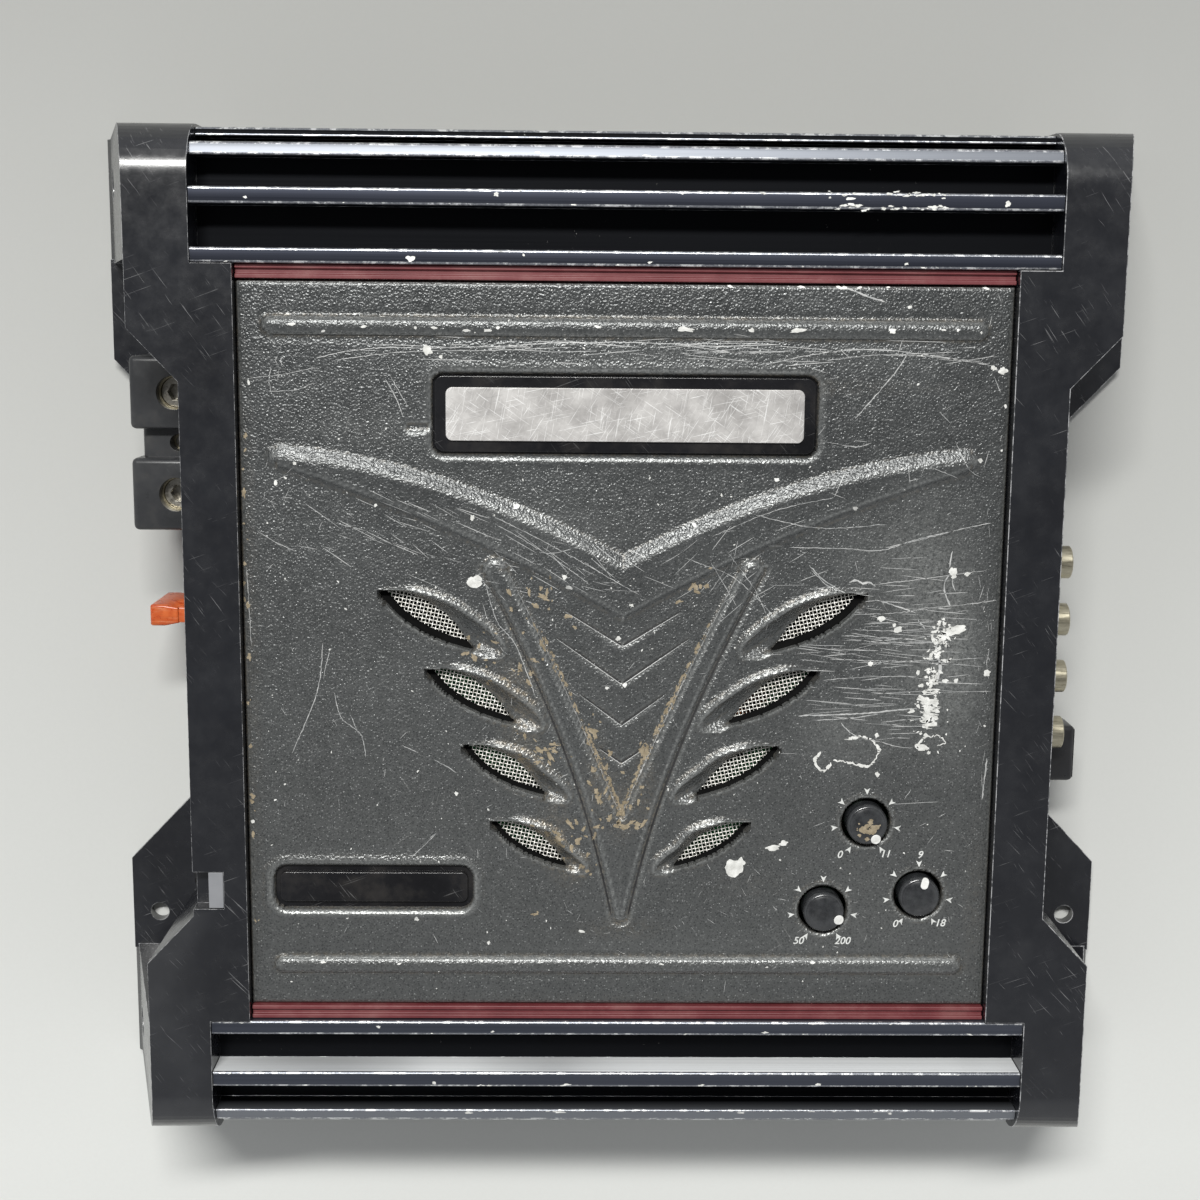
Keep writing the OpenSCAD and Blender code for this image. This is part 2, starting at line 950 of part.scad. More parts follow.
module speaker_terminal_housing() {
    half = 2 * speaker_pitch;
    color("#1d1e21")
        difference() {
            block(speaker_x, [speaker_c - half, speaker_c + half], speaker_z);
            for (i = [0 : 3]) {
                y = speaker_at(i);
                block([speaker_x[0] + 1.5 - fit_gap, speaker_x[1] + 1],
                      [y - speaker_half - fit_gap, y + speaker_half + fit_gap],
                      [speaker_block_z[0] - fit_gap, speaker_block_z[1] + fit_gap]);
                translate([0, y, speaker_bore_z])
                    along_x(speaker_x[0] - 1, speaker_x[0] + 2, speaker_bore_d / 2 + 0.3);
                translate([speaker_screw_x, y, speaker_block_z[1] - 1])
                    cylinder(r = speaker_screw_d / 2 + 0.3, h = 10, $fn = 32);
            }
        }
}

module speaker_terminal_blocks() {
    color("#c9b26a")
        for (i = [0 : 3]) {
            y = speaker_at(i);
            difference() {
                block([speaker_x[0] + 1.5, speaker_x[1] - 2],
                      [y - speaker_half, y + speaker_half], speaker_block_z);
                translate([0, y, speaker_bore_z])
                    along_x(speaker_x[0] + 1, speaker_x[1] - 5, speaker_bore_d / 2);
                translate([speaker_screw_x, y, speaker_bore_z])
                    cylinder(r = speaker_screw_d / 2 + run_gap, h = 10, $fn = 32);
            }
        }
}

module speaker_screw(i) {
    set_screw(speaker_screw_x, speaker_at(i), speaker_screw_z, speaker_screw_d / 2, 1);
}

module speaker_screw_1() {
    speaker_screw(0);
}

module speaker_screw_2() {
    speaker_screw(1);
}

module speaker_screw_3() {
    speaker_screw(2);
}

module speaker_screw_4() {
    speaker_screw(3);
}

// ---- Signal jacks ----

module rca_housing() {
    inner_x = cap_in - 9;
    color("#17181a")
        difference() {
            union() {
                block([inner_x, rca_face], rca_housing_y, rca_housing_z);
                block([inner_x, rca_face], rca_leg_y,
                      [board_z + board_t + fit_gap, rca_housing_z[0] + eps]);
            }
            for (i = [0 : rca_count - 1])
                translate([0, rca_at(i), rca_z])
                    along_x(rca_face - 6, rca_face + 1, rca_bore_r);
        }
}

module rca_barrels() {
    color("#a9a184")
        for (i = [0 : rca_count - 1])
            translate([0, rca_at(i), rca_z])
                difference() {
                    union() {
                        along_x(rca_face, rca_tip, rca_d / 2);
                        along_x(rca_face, rca_face + 1, rca_d / 2 + 0.6);
                    }
                    along_x(rca_face - 1, rca_tip + 1, rca_bore_r);
                }
}

module rca_insulators() {
    color("#d9d6cc")
        for (i = [0 : rca_count - 1])
            translate([0, rca_at(i), rca_z])
                difference() {
                    along_x(rca_face - 6, rca_tip - 0.6, rca_bore_r - run_gap);
                    along_x(rca_face - 4, rca_tip + 1, rca_pin_r);
                }
}

module remote_jack() {
    mid_y = (jack_y[0] + jack_y[1]) / 2;
    mid_z = (jack_z[0] + jack_z[1]) / 2;
    color("#1c1d1f")
        difference() {
            block(jack_x, jack_y, jack_z);
            block([jack_x[1] - socket_depth, jack_x[1] + 1],
                  [mid_y - socket_w / 2, mid_y + socket_w / 2],
                  [mid_z - socket_h / 2, mid_z + socket_h / 2]);
            block([jack_x[1] - socket_depth, jack_x[1] + 1],
                  [mid_y - 2, mid_y + 2], [jack_z[0] + 0.8, mid_z]);
        }
}

module remote_jack_contacts() {
    mid_y = (jack_y[0] + jack_y[1]) / 2;
    mid_z = (jack_z[0] + jack_z[1]) / 2;
    top_z = mid_z + socket_h / 2;
    color("#d1b15a")
        for (i = [-1.5 : 1 : 1.5])
            block([jack_x[1] - socket_depth, jack_x[1] - 5],
                  [mid_y + i * 1.3 - 0.25, mid_y + i * 1.3 + 0.25],
                  [top_z - 0.5, top_z]);
}

// ---- Electronics ----

module toroid_core(at, r0, r1, z) {
    color("#5f6b3e")
        translate([at[0], at[1], z[0]])
            difference() {
                cylinder(r = r1, h = z[1] - z[0]);
                translate([0, 0, -1])
                    cylinder(r = r0, h = z[1] - z[0] + 2);
            }
}

module toroid_turns(at, r0, r1, z, wire, turns) {
    gap = 0.2;
    color("#a8562a")
        translate([at[0], at[1], 0])
            for (i = [0 : turns - 1])
                rotate(i * 360 / turns)
                    difference() {
                        block([r0 - gap - wire, r1 + gap + wire], [-wire / 2, wire / 2],
                              [z[0] - gap - wire, z[1] + gap + wire]);
                        block([r0 - gap, r1 + gap], [-wire, wire],
                              [z[0] - gap, z[1] + gap]);
                    }
}

module transformer_core() {
    toroid_core(transformer_at, transformer_r[0], transformer_r[1], transformer_z);
}

module transformer_winding() {
    toroid_turns(transformer_at, transformer_r[0], transformer_r[1], transformer_z, 2, 24);
}

module inductor_core() {
    toroid_core(inductor_at, inductor_r[0], inductor_r[1], inductor_z);
}

module inductor_winding() {
    toroid_turns(inductor_at, inductor_r[0], inductor_r[1], inductor_z, 1.6, 20);
}

module capacitor(r, h) {
    difference() {
        cylinder(r = r, h = h);
        translate([-r * 0.7, -0.3, h - 0.4])
            cube([r * 1.4, 0.6, 1]);
        translate([-0.3, -r * 0.7, h - 0.4])
            cube([0.6, r * 1.4, 1]);
    }
}

module input_capacitors() {
    color("#20242b")
        for (at = input_cap_at)
            translate([at[0], at[1], board_z + board_t])
                capacitor(cap_r, input_cap_h);
}

module output_capacitors() {
    color("#20242b")
        for (at = output_cap_at)
            translate([at[0], at[1], board_z + board_t])
                capacitor(cap_r, output_cap_h);
}

module each_transistor() {
    for (side = [0, 1])
        mirror([0, side, 0])
            for (i = [0 : transistor_count - 1])
                translate([(i - (transistor_count - 1) / 2) * transistor_pitch, 0, 0])
                    children();
}

module power_transistors() {
    back_y = wall_in - pad_t;
    front_y = back_y - transistor[1];
    leg_y = board_half[1] - 3;
    color("#1a1b1d")
        each_transistor() {
            block([-transistor[0] / 2, transistor[0] / 2], [front_y, back_y],
                  [transistor_z, transistor_z + transistor[2]]);
            for (x = [-leg_pitch, 0, leg_pitch]) {
                block([x - leg_w / 2, x + leg_w / 2], [leg_y, front_y + 1],
                      [transistor_z - 0.6, transistor_z + eps]);
                block([x - leg_w / 2, x + leg_w / 2], [leg_y, leg_y + 0.6],
                      [board_z + board_t, transistor_z - 0.3]);
            }
        }
}

module insulating_pads() {
    color("#9aa0a8")
        each_transistor()
            block([-6, 6], [wall_in - pad_t, wall_in],
                  [transistor_z - 1, transistor_z + transistor[2] + 1]);
}

module clamp_bars() {
    front_y = wall_in - pad_t - transistor[1];
    color("#8e9092")
        for (side = [0, 1])
            mirror([0, side, 0])
                difference() {
                    block([-clamp_half, clamp_half], [front_y - clamp_t, front_y], clamp_z);
                    for (x = clamp_screw_at)
                        translate([x, front_y - clamp_t - 1, (clamp_z[0] + clamp_z[1]) / 2])
                            rotate([-90, 0, 0])
                                cylinder(r = 1.6, h = clamp_t + 2, $fn = 24);
                }
}

module clamp_screws() {
    front_y = wall_in - pad_t - transistor[1] - clamp_t;
    color("#c2c4c6")
        for (side = [0, 1])
            mirror([0, side, 0])
                for (x = clamp_screw_at)
                    translate([x, front_y, (clamp_z[0] + clamp_z[1]) / 2])
                        rotate([90, 0, 0])
                            screw(1.25, 10.5, 2.7, 2);
}

heatsink();
end_cap_left();
end_cap_right();
bottom_cover();
top_panel();
vent_mesh_left();
vent_mesh_right();
trim_strip_upper();
trim_strip_lower();
badge_plate();
badge_inlay();
name_plate();
cap_latch();
main_board();
control_board();
standoffs();
board_screws();
gain_pot();
crossover_pot();
boost_pot();
gain_shaft();
crossover_shaft();
boost_shaft();
gain_knob();
crossover_knob();
boost_knob();
power_terminal_housing();
ground_terminal_block();
positive_terminal_block();
remote_terminal_block();
ground_set_screw();
positive_set_screw();
remote_set_screw();
fuse_holder();
fuse_clips();
fuse_body();
fuse_blades();
speaker_terminal_housing();
speaker_terminal_blocks();
speaker_screw_1();
speaker_screw_2();
speaker_screw_3();
speaker_screw_4();
rca_housing();
rca_barrels();
rca_insulators();
remote_jack();
remote_jack_contacts();
transformer_core();
transformer_winding();
inductor_core();
inductor_winding();
input_capacitors();
output_capacitors();
power_transistors();
insulating_pads();
clamp_bars();
clamp_screws();
end_cap_screws();
bottom_screws();
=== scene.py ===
"""Looks of the car amplifier: materials, fine shapes, wear, floor, light and camera."""

import json
import math
import random

import bmesh
import bpy
import numpy as np
from mathutils import Matrix, Vector


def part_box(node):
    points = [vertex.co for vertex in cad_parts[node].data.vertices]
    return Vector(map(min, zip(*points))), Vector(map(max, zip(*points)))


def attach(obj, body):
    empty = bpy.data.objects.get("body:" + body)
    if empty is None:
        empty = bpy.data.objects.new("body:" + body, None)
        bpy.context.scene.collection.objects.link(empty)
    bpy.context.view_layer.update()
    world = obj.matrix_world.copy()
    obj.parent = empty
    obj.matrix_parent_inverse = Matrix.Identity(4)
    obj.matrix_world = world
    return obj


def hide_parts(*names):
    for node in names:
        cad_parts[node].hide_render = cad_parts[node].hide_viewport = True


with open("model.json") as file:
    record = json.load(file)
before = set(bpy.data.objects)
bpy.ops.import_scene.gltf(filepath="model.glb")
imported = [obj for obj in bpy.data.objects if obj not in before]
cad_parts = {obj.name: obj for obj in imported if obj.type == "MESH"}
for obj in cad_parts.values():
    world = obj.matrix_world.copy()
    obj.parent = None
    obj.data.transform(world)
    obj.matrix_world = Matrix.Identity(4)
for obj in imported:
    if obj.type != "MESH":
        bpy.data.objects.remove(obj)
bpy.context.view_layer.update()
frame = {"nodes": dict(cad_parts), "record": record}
MM = 0.001


# ---------------------------------------------------------------- materials


class Graph:
    """A short way to build a procedural material. Lengths in the texture space are mm."""

    def __init__(self, name):
        self.material = bpy.data.materials.new(name)
        self.material.use_nodes = True
        self.tree = self.material.node_tree
        self.tree.nodes.clear()
        self.shader = self.tree.nodes.new("ShaderNodeBsdfPrincipled")
        out = self.tree.nodes.new("ShaderNodeOutputMaterial")
        self.tree.links.new(self.shader.outputs[0], out.inputs[0])
        self.coord = self.node("TexCoord", out="Object")

    def put(self, socket, value):
        if isinstance(value, bpy.types.NodeSocket):
            self.tree.links.new(value, socket)
        elif isinstance(value, tuple) and len(value) < len(socket.default_value):
            socket.default_value = (*value, 1)
        else:
            socket.default_value = value

    def node(self, kind, inputs=(), out=0, **settings):
        """Adds a node with these settings and inputs and gives one of its outputs."""
        node = self.tree.nodes.new("ShaderNode" + kind)
        for key, value in settings.items():
            setattr(node, key, value)
        for key, value in dict(inputs).items():
            self.put(node.inputs[key], value)
        return node.outputs[out]

    def set(self, **values):
        for key, value in values.items():
            self.put(self.shader.inputs[key.replace("_", " ").title().replace("Ior", "IOR")], value)

    def place(self, scale=(1, 1, 1), turn=0, shift=(0, 0, 0)):
        """Coordinates in mm, turned first and stretched after, so streaks can lie at any angle."""
        return self.node("Mapping", {
            "Vector": self.coord, "Scale": [MM / s for s in scale],
            "Rotation": [0, 0, math.radians(turn)],
            "Location": [-a * MM / s for a, s in zip(shift, scale)]}, vector_type="TEXTURE")

    def noise(self, scale, detail=3, rough=0.5, vector=None):
        return self.node("TexNoise", {"Vector": vector or self.place(), "Scale": scale,
                                      "Detail": detail, "Roughness": rough})

    def streaks(self, scale, turn=0, shift=(0, 0, 0), detail=2, rough=0.5):
        """Noise that is drawn out where the scale is small."""
        return self.noise(1.0, detail, rough, self.place(scale, turn, shift))

    def cells(self, scale, feature="F1", out="Distance", vector=None, spread=1.0):
        return self.node("TexVoronoi", {"Vector": vector or self.place(), "Scale": scale,
                                        "Randomness": spread}, out, feature=feature)

    def math(self, op, first, *others):
        """The same operation over several values, from left to right."""
        for other in others:
            first = self.node("Math", {0: first, 1: other}, operation=op)
        return first

    def times(self, *values):
        return self.math("MULTIPLY", *values)

    def most(self, *values):
        return self.math("MAXIMUM", *values)

    def span(self, value, a, b, c=0.0, d=1.0):
        """Maps a..b to c..d and holds the ends."""
        return self.node("MapRange", enumerate((value, a, b, c, d)), clamp=True)

    def mix(self, share, a, b):
        return self.node("Mix", {0: share, 6: a, 7: b}, 2, data_type="RGBA")

    def separate(self, vector):
        return self.node("SeparateXYZ", {0: vector}).node.outputs

    def attribute(self, name):
        return self.node("Attribute", out="Fac", attribute_name=name)

    def bump(self, height, strength=0.3, depth=0.05, under=None):
        inputs = {"Height": height, "Strength": strength, "Distance": depth * MM}
        if under:
            inputs["Normal"] = under
        return self.node("Bump", inputs)


def satin(name, dark, light, rough=(0.35, 0.5), metal=0.0, grain=1.5, blotch=0.04,
          scratch=0.0, scratch_color=(0.3, 0.3, 0.3), dust=0.0, dust_color=(0.25, 0.22, 0.18),
          bumps=0.15, shine=0.5):
    """A moulded, painted or metal finish with blotches, grain, fine scratches and dust."""
    g = Graph(name)
    color = g.mix(g.span(g.noise(blotch, 4, 0.6), 0.35, 0.65), dark, light)
    color = g.mix(g.span(g.noise(grain, 3, 0.6), 0.4, 0.75, 0.0, 0.25), color, light)
    if scratch:
        lines = g.most(g.span(g.streaks((0.06, 3.0, 0.3), 20), 0.68, 0.72),
                       g.span(g.streaks((3.2, 0.08, 0.4), 44), 0.69, 0.73),
                       g.span(g.streaks((0.12, 3.6, 0.4), -55, (4, 2, 0)), 0.68, 0.72))
        patch = g.span(g.noise(0.07, 4, 0.65), 0.49, 0.62)
        color = g.mix(g.times(lines, patch, scratch), color, scratch_color)
    if dust:
        specks = g.span(g.cells(0.9), 0.0, 0.12, 1.0, 0.0)
        cloud = g.span(g.noise(0.08, 5, 0.7), 0.5, 0.75)
        color = g.mix(g.times(g.most(g.times(specks, 0.8), cloud), dust), color, dust_color)
    g.set(base_color=color, metallic=metal, specular_ior_level=shine,
          roughness=g.span(g.noise(0.25, 5, 0.65), 0.3, 0.7, *rough),
          normal=g.bump(g.noise(grain * 1.5, 4, 0.6), bumps, 0.06))
    return g.material


def worn(name, base, bright, share, metal, rough):
    """An edge whose coating is rubbed through in patches."""
    g = Graph(name)
    patch = g.span(g.noise(0.35, 6, 0.75), 0.62 - 0.3 * share, 0.68 - 0.3 * share)
    fine = g.span(g.noise(3.0, 3, 0.6), 0.35, 0.7)
    color = g.mix(g.times(fine, 0.35), g.mix(patch, base, bright), bright)
    g.set(base_color=color, metallic=metal, roughness=g.span(fine, 0, 1, rough, rough + 0.15),
          normal=g.bump(g.noise(2.5, 3), 0.2, 0.05))
    return g.material


def panel_paint():
    """Hammered grey paint with painted light towards -Y, flakes that are also painted glints, pits
    that are partly painted shade, hairlines, rubbed places and dirt.
    """
    g = Graph("panel_paint")
    wear, grime = g.attribute("wear"), g.attribute("grime")
    color = g.mix(g.span(g.noise(0.035, 5, 0.6), 0.3, 0.7), (0.038, 0.041, 0.042),
                  (0.074, 0.079, 0.080))
    # Painted light: the paint is lightened towards -Y, standing in for the light on the panel.
    painted_light_low = g.span(g.separate(g.place())[1], 70, -40, 0.0, 0.55)
    color = g.mix(painted_light_low, color, (0.13, 0.134, 0.132))
    mid = g.noise(0.6, 4, 0.65)
    color = g.mix(g.span(mid, 0.4, 0.8, 0.0, 0.45), color, (0.15, 0.155, 0.155))
    # Pale flakes of the paint that also stand in for the hammered paint's glints: partly flake
    # colour, partly painted glints.
    pick = g.separate(g.cells(1.75, out="Color"))
    chosen = g.times(g.span(pick[0], 0.72, 0.78), g.span(pick[1], 0.0, 1.0, 0.1, 0.75))
    flakes_and_glints = g.times(g.span(g.cells(1.75), 0.14, 0.38, 1.0, 0.0), chosen)
    color = g.mix(flakes_and_glints, color, (0.46, 0.47, 0.47))
    # Dark pits: partly the paint's own specks, partly painted shade of the hammered dimples.
    pits_and_shade = g.span(g.cells(1.7, vector=g.place(shift=(4, 9, 2))), 0.08, 0.45, 0.85, 0.0)
    color = g.mix(pits_and_shade, color, (0.03, 0.032, 0.034))
    hairs = g.most(g.span(g.streaks((0.07, 3.0, 1), 32), 0.70, 0.73),
                   g.span(g.streaks((3.2, 0.08, 1), -16), 0.71, 0.74),
                   g.span(g.streaks((0.10, 3.4, 1), -58, (3, 5, 0)), 0.70, 0.73))
    patch = g.span(g.noise(0.06, 3, 0.6), 0.42, 0.62)
    color = g.mix(g.times(hairs, patch, 0.5), color, (0.34, 0.34, 0.33))
    # Rubbed places lighten the paint. On convex ridges this lightening is partly a painted
    # highlight.
    rubbed_and_ridge_light = g.times(g.span(wear, 0.05, 0.9), g.span(g.noise(1.6, 5, 0.75), 0.36, 0.60))
    color = g.mix(g.times(rubbed_and_ridge_light, 0.75), color, (0.36, 0.37, 0.36))
    through = g.span(g.noise(0.9, 6, 0.8, g.place(shift=(8, 3, 1))), 0.60, 0.63)
    color = g.mix(g.times(g.span(wear, 0.45, 1.0), through), color, (0.60, 0.59, 0.55))
    dirt = g.times(g.span(grime, 0.05, 0.9), g.span(g.noise(0.8, 6, 0.8), 0.42, 0.60))
    color = g.mix(g.times(dirt, 0.85), color, (0.24, 0.20, 0.145))
    hammer = g.math("ADD", g.noise(1.5, 2, 0.5), g.times(g.cells(2.2, "SMOOTH_F1"), 0.8))
    hammer = g.times(hammer, g.span(wear, 0.1, 0.9, 1.0, 0.35))
    g.set(base_color=color, roughness=g.span(g.noise(0.4, 4, 0.6), 0.3, 0.7, 0.27, 0.38),
          metallic=0.45, specular_ior_level=0.9,
          normal=g.bump(g.noise(5.0, 2, 0.6), 0.25, 0.04, g.bump(hammer, 0.9, 0.17)))
    return g.material


def brushed(name, dark, light, along=(0.03, 3.0, 3.0), rough=(0.25, 0.42),
            tarnish=(0.2, 0.17, 0.12), dirt=0.3, metal=0.9):
    """Metal with a grain along one axis and some tarnish."""
    g = Graph(name)
    lines = g.streaks(along, detail=4, rough=0.6)
    color = g.mix(g.span(lines, 0.3, 0.7), dark, light)
    color = g.mix(g.times(g.span(g.noise(0.5, 6, 0.75), 0.5, 0.7), dirt), color, tarnish)
    g.set(base_color=color, metallic=metal, roughness=g.span(lines, 0.3, 0.7, *rough),
          normal=g.bump(lines, 0.2, 0.04))
    return g.material


def inlay_metal():
    """The badge's silver face: satin, with short scratches every way and dull blotches."""
    g = Graph("badge_metal")
    blotch = g.span(g.noise(0.12, 5, 0.7), 0.35, 0.65)
    color = g.mix(blotch, (0.40, 0.385, 0.375), (0.58, 0.565, 0.55))
    for turn, shift in ((12, 0), (57, 3), (-34, 7), (80, 11)):
        line = g.streaks((0.12, 4.2, 1), turn, (shift, shift, 0))
        color = g.mix(g.span(line, 0.64, 0.69, 0.0, 0.6), color, (0.95, 0.95, 0.94))
        color = g.mix(g.span(line, 0.32, 0.27, 0.0, 0.35), color, (0.2, 0.2, 0.2))
    g.set(base_color=color, metallic=0.35, roughness=g.span(blotch, 0, 1, 0.36, 0.48),
          normal=g.bump(g.noise(2.0, 4), 0.2, 0.05))
    return g.material


def fin_metal():
    """Dark anodised aluminium drawn along X. Painted shade blackens the groove floors and darkens
    the upper fins. Painted light brightens the lower fins and the outermost fin tops, and on the
    lower fins the walls that face +Y carry a brighter, rougher painted highlight."""
    g = Graph("anodised_fins")
    draw = g.streaks((0.006, 2.2, 2.2), detail=4, rough=0.6)
    lengthways, depthways, height = g.separate(g.place())
    color = g.mix(g.span(draw, 0.3, 0.7), (0.040, 0.045, 0.062), (0.066, 0.073, 0.095))
    wide = g.noise(0.02, 3, 0.5)
    # Tones by place: random patches, painted shade on the upper fins, painted light on the lower
    # fins and on the outermost fin tops, and painted shade that blackens the groove floors below
    # 49-53 mm.
    for share, tone in ((g.span(wide, 0.4, 0.7, 0, 0.5), (0.085, 0.092, 0.115)),
                        (g.span(depthways, -20, 90, 0.0, 0.6), (0.016, 0.018, 0.028)),
                        (g.span(depthways, 0, -100, 0.0, 0.55), (0.10, 0.11, 0.14)),
                        (g.span(depthways, -109, -111, 0.0, 0.8), (0.30, 0.315, 0.34)),
                        (g.span(depthways, 108, 110, 0.0, 0.85), (0.16, 0.17, 0.19)),
                        (g.span(height, 49.0, 53.0, 1.0, 0.0), (0.003, 0.0035, 0.005))):
        color = g.mix(share, color, tone)
    facing = g.separate(g.node("TexCoord", out="Normal"))[1]
    patchy = g.noise(0.02, 2, 0.5, g.place((1, 0.4, 0.4), shift=(6, 0, 0)))
    # Painted highlight: the lower fin walls that face +Y are painted near-white, less metallic and
    # rougher, standing in for the light on them.
    painted_sheen = g.times(g.span(facing, 0.6, 0.85), g.span(draw, 0.2, 0.8, 0.8, 1.0),
                    g.span(patchy, 0.35, 0.6, 0.7, 1.0), g.span(depthways, -109, -107),
                    g.span(depthways, -92, -95))
    color = g.mix(painted_sheen, color, (0.93, 0.95, 0.96))
    chip = g.times(g.span(g.noise(0.55, 6, 0.85), 0.68, 0.70),
                   g.span(g.noise(0.03, 3, 0.5, g.place(shift=(5, 2, 7))), 0.5, 0.6))
    color = g.mix(chip, color, (0.6, 0.59, 0.56))
    rough = g.math("ADD", g.span(draw, 0.3, 0.7, 0.36, 0.46),
                   g.span(lengthways, -40, 90, 0.0, 0.10), g.times(painted_sheen, 0.3))
    g.set(base_color=color, metallic=g.math("SUBTRACT", 0.85, g.times(painted_sheen, 0.8)),
          roughness=rough, normal=g.bump(draw, 0.15, 0.03))
    return g.material


def orange_plastic():
    g = Graph("fuse_orange")
    cloud = g.noise(0.5, 4, 0.6)
    streak = g.streaks((0.15, 1.6, 0.6), detail=3, rough=0.6)
    color = g.mix(g.span(cloud, 0.3, 0.7), (0.62, 0.085, 0.018), (0.88, 0.21, 0.055))
    color = g.mix(g.span(streak, 0.55, 0.75, 0, 0.7), color, (0.95, 0.42, 0.22))
    color = g.mix(g.span(streak, 0.42, 0.30, 0, 0.7), color, (0.22, 0.035, 0.012))
    g.set(base_color=color, roughness=g.span(cloud, 0, 1, 0.22, 0.35), transmission_weight=0.35,
          ior=1.5, normal=g.bump(g.noise(1.2, 3), 0.12, 0.05))
    return g.material


def coil_wire():
    g = Graph("copper_wire")
    spot = g.noise(0.9, 4, 0.6)
    color = g.mix(g.span(spot, 0.3, 0.7), (0.42, 0.13, 0.04), (0.72, 0.30, 0.11))
    g.set(base_color=color, metallic=0.85, roughness=g.span(spot, 0.3, 0.7, 0.2, 0.35),
          normal=g.bump(spot, 0.1, 0.05))
    return g.material


def board_mask():
    """Green lacquer over tracks, with tinned pads."""
    g = Graph("board_green")
    track = g.span(g.cells(0.22, "DISTANCE_TO_EDGE", spread=0.35), 0.06, 0.10)
    pads = g.span(g.cells(0.30, spread=0.2), 0.10, 0.13, 1.0, 0.0)
    color = g.mix(pads, g.mix(track, (0.03, 0.17, 0.06), (0.012, 0.085, 0.03)), (0.55, 0.53, 0.48))
    g.set(base_color=color, roughness=g.span(pads, 0, 1, 0.35, 0.25),
          normal=g.bump(track, 0.2, 0.05))
    return g.material


fins = fin_metal()
fin_edge = worn("fin_edge", (0.16, 0.17, 0.20), (0.80, 0.81, 0.82), 0.35, 0.75, 0.28)
cap = satin("cap_plastic", (0.0045, 0.0050, 0.0075), (0.0095, 0.0105, 0.0140), (0.18, 0.30),
            scratch=0.8, scratch_color=(0.19, 0.19, 0.195), dust=0.10,
            dust_color=(0.08, 0.08, 0.08), bumps=0.14, shine=1.0)
cap_edge = worn("cap_edge", (0.045, 0.047, 0.052), (0.42, 0.42, 0.43), 0.5, 0.0, 0.25)
paint = panel_paint()
cover = satin("cover_steel", (0.03, 0.031, 0.034), (0.05, 0.052, 0.055), (0.45, 0.6), 0.2,
              scratch=0.5, dust=0.1, bumps=0.4)
mesh_wire = brushed("mesh_steel", (0.80, 0.79, 0.75), (0.97, 0.95, 0.90), (1.5, 1.5, 1.5),
                    (0.35, 0.5), (0.40, 0.35, 0.25), 0.35, metal=0.55)
red = satin("trim_red", (0.125, 0.022, 0.026), (0.19, 0.045, 0.05), (0.4, 0.55),
            grain=2.0, blotch=0.08, dust=0.30, dust_color=(0.27, 0.17, 0.15), bumps=0.2)
badge_black = satin("badge_black", (0.004, 0.004, 0.005), (0.012, 0.012, 0.014), (0.14, 0.26),
                    scratch=0.4, scratch_color=(0.25, 0.25, 0.25), dust=0.08, bumps=0.05)
silver = inlay_metal()
latch = satin("latch_grey", (0.20, 0.205, 0.22), (0.27, 0.275, 0.29), (0.4, 0.55), bumps=0.2,
              scratch=0.2)
board = board_mask()
brass = brushed("standoff_brass", (0.45, 0.34, 0.15), (0.70, 0.56, 0.28))
zinc = brushed("screw_steel", (0.45, 0.45, 0.46), (0.68, 0.68, 0.69), (1, 1, 1))
black_oxide = satin("screw_black", (0.018, 0.018, 0.02), (0.04, 0.04, 0.042), (0.3, 0.45), 0.6,
                    scratch=0.4)
pot_body = satin("pot_body", (0.11, 0.10, 0.07), (0.17, 0.15, 0.11), bumps=0.2)
ground_steel = brushed("shaft_steel", (0.62, 0.62, 0.63), (0.8, 0.8, 0.81), (2, 2, 0.1),
                       (0.15, 0.25), dirt=0.1)
knob_black = satin("knob_black", (0.014, 0.015, 0.017), (0.036, 0.038, 0.041), (0.14, 0.30),
                   grain=3.0, blotch=0.5, dust=0.35, dust_color=(0.10, 0.10, 0.10), bumps=0.1,
                   shine=0.9)
pointer_white = satin("pointer_white", (0.66, 0.66, 0.63), (0.80, 0.80, 0.78), (0.4, 0.5),
                      grain=3.0, blotch=0.8, bumps=0.1)
tan_dirt = satin("tan_dirt", (0.20, 0.16, 0.10), (0.36, 0.30, 0.21), (0.7, 0.85), grain=4.0,
                 blotch=0.9, bumps=0.5)
terminal = satin("terminal_black", (0.022, 0.023, 0.025), (0.042, 0.043, 0.046), (0.26, 0.40),
                 scratch=0.4, scratch_color=(0.2, 0.2, 0.2), dust=0.3,
                 dust_color=(0.10, 0.09, 0.075))
terminal_edge = worn("terminal_edge", (0.045, 0.045, 0.05), (0.22, 0.22, 0.22), 0.3, 0.0, 0.3)
terminal_metal = brushed("terminal_brass", (0.40, 0.35, 0.24), (0.62, 0.56, 0.40), (1, 1, 1))
nickel = brushed("set_screw_nickel", (0.30, 0.28, 0.24), (0.50, 0.48, 0.43), (1.2, 1.2, 1.2),
                 dirt=0.5)
orange = orange_plastic()
tinned = brushed("blade_metal", (0.45, 0.45, 0.43), (0.68, 0.68, 0.66), (0.1, 2, 2))
jack_black = satin("jack_black", (0.008, 0.008, 0.009), (0.020, 0.020, 0.022), (0.25, 0.4),
                   dust=0.25, dust_color=(0.09, 0.085, 0.075))
barrel = brushed("barrel_nickel", (0.36, 0.33, 0.24), (0.58, 0.54, 0.42), (0.2, 2, 2), dirt=0.45)
insulator = satin("insulator_white", (0.52, 0.50, 0.44), (0.70, 0.68, 0.62), dust=0.3)
gold = brushed("contact_gold", (0.58, 0.40, 0.12), (0.80, 0.60, 0.24), dirt=0.15)
ferrite = satin("ferrite_green", (0.06, 0.11, 0.04), (0.10, 0.16, 0.07), bumps=0.3)
copper = coil_wire()
sleeve = satin("capacitor_sleeve", (0.010, 0.012, 0.020), (0.022, 0.025, 0.036), (0.2, 0.35),
               bumps=0.08)
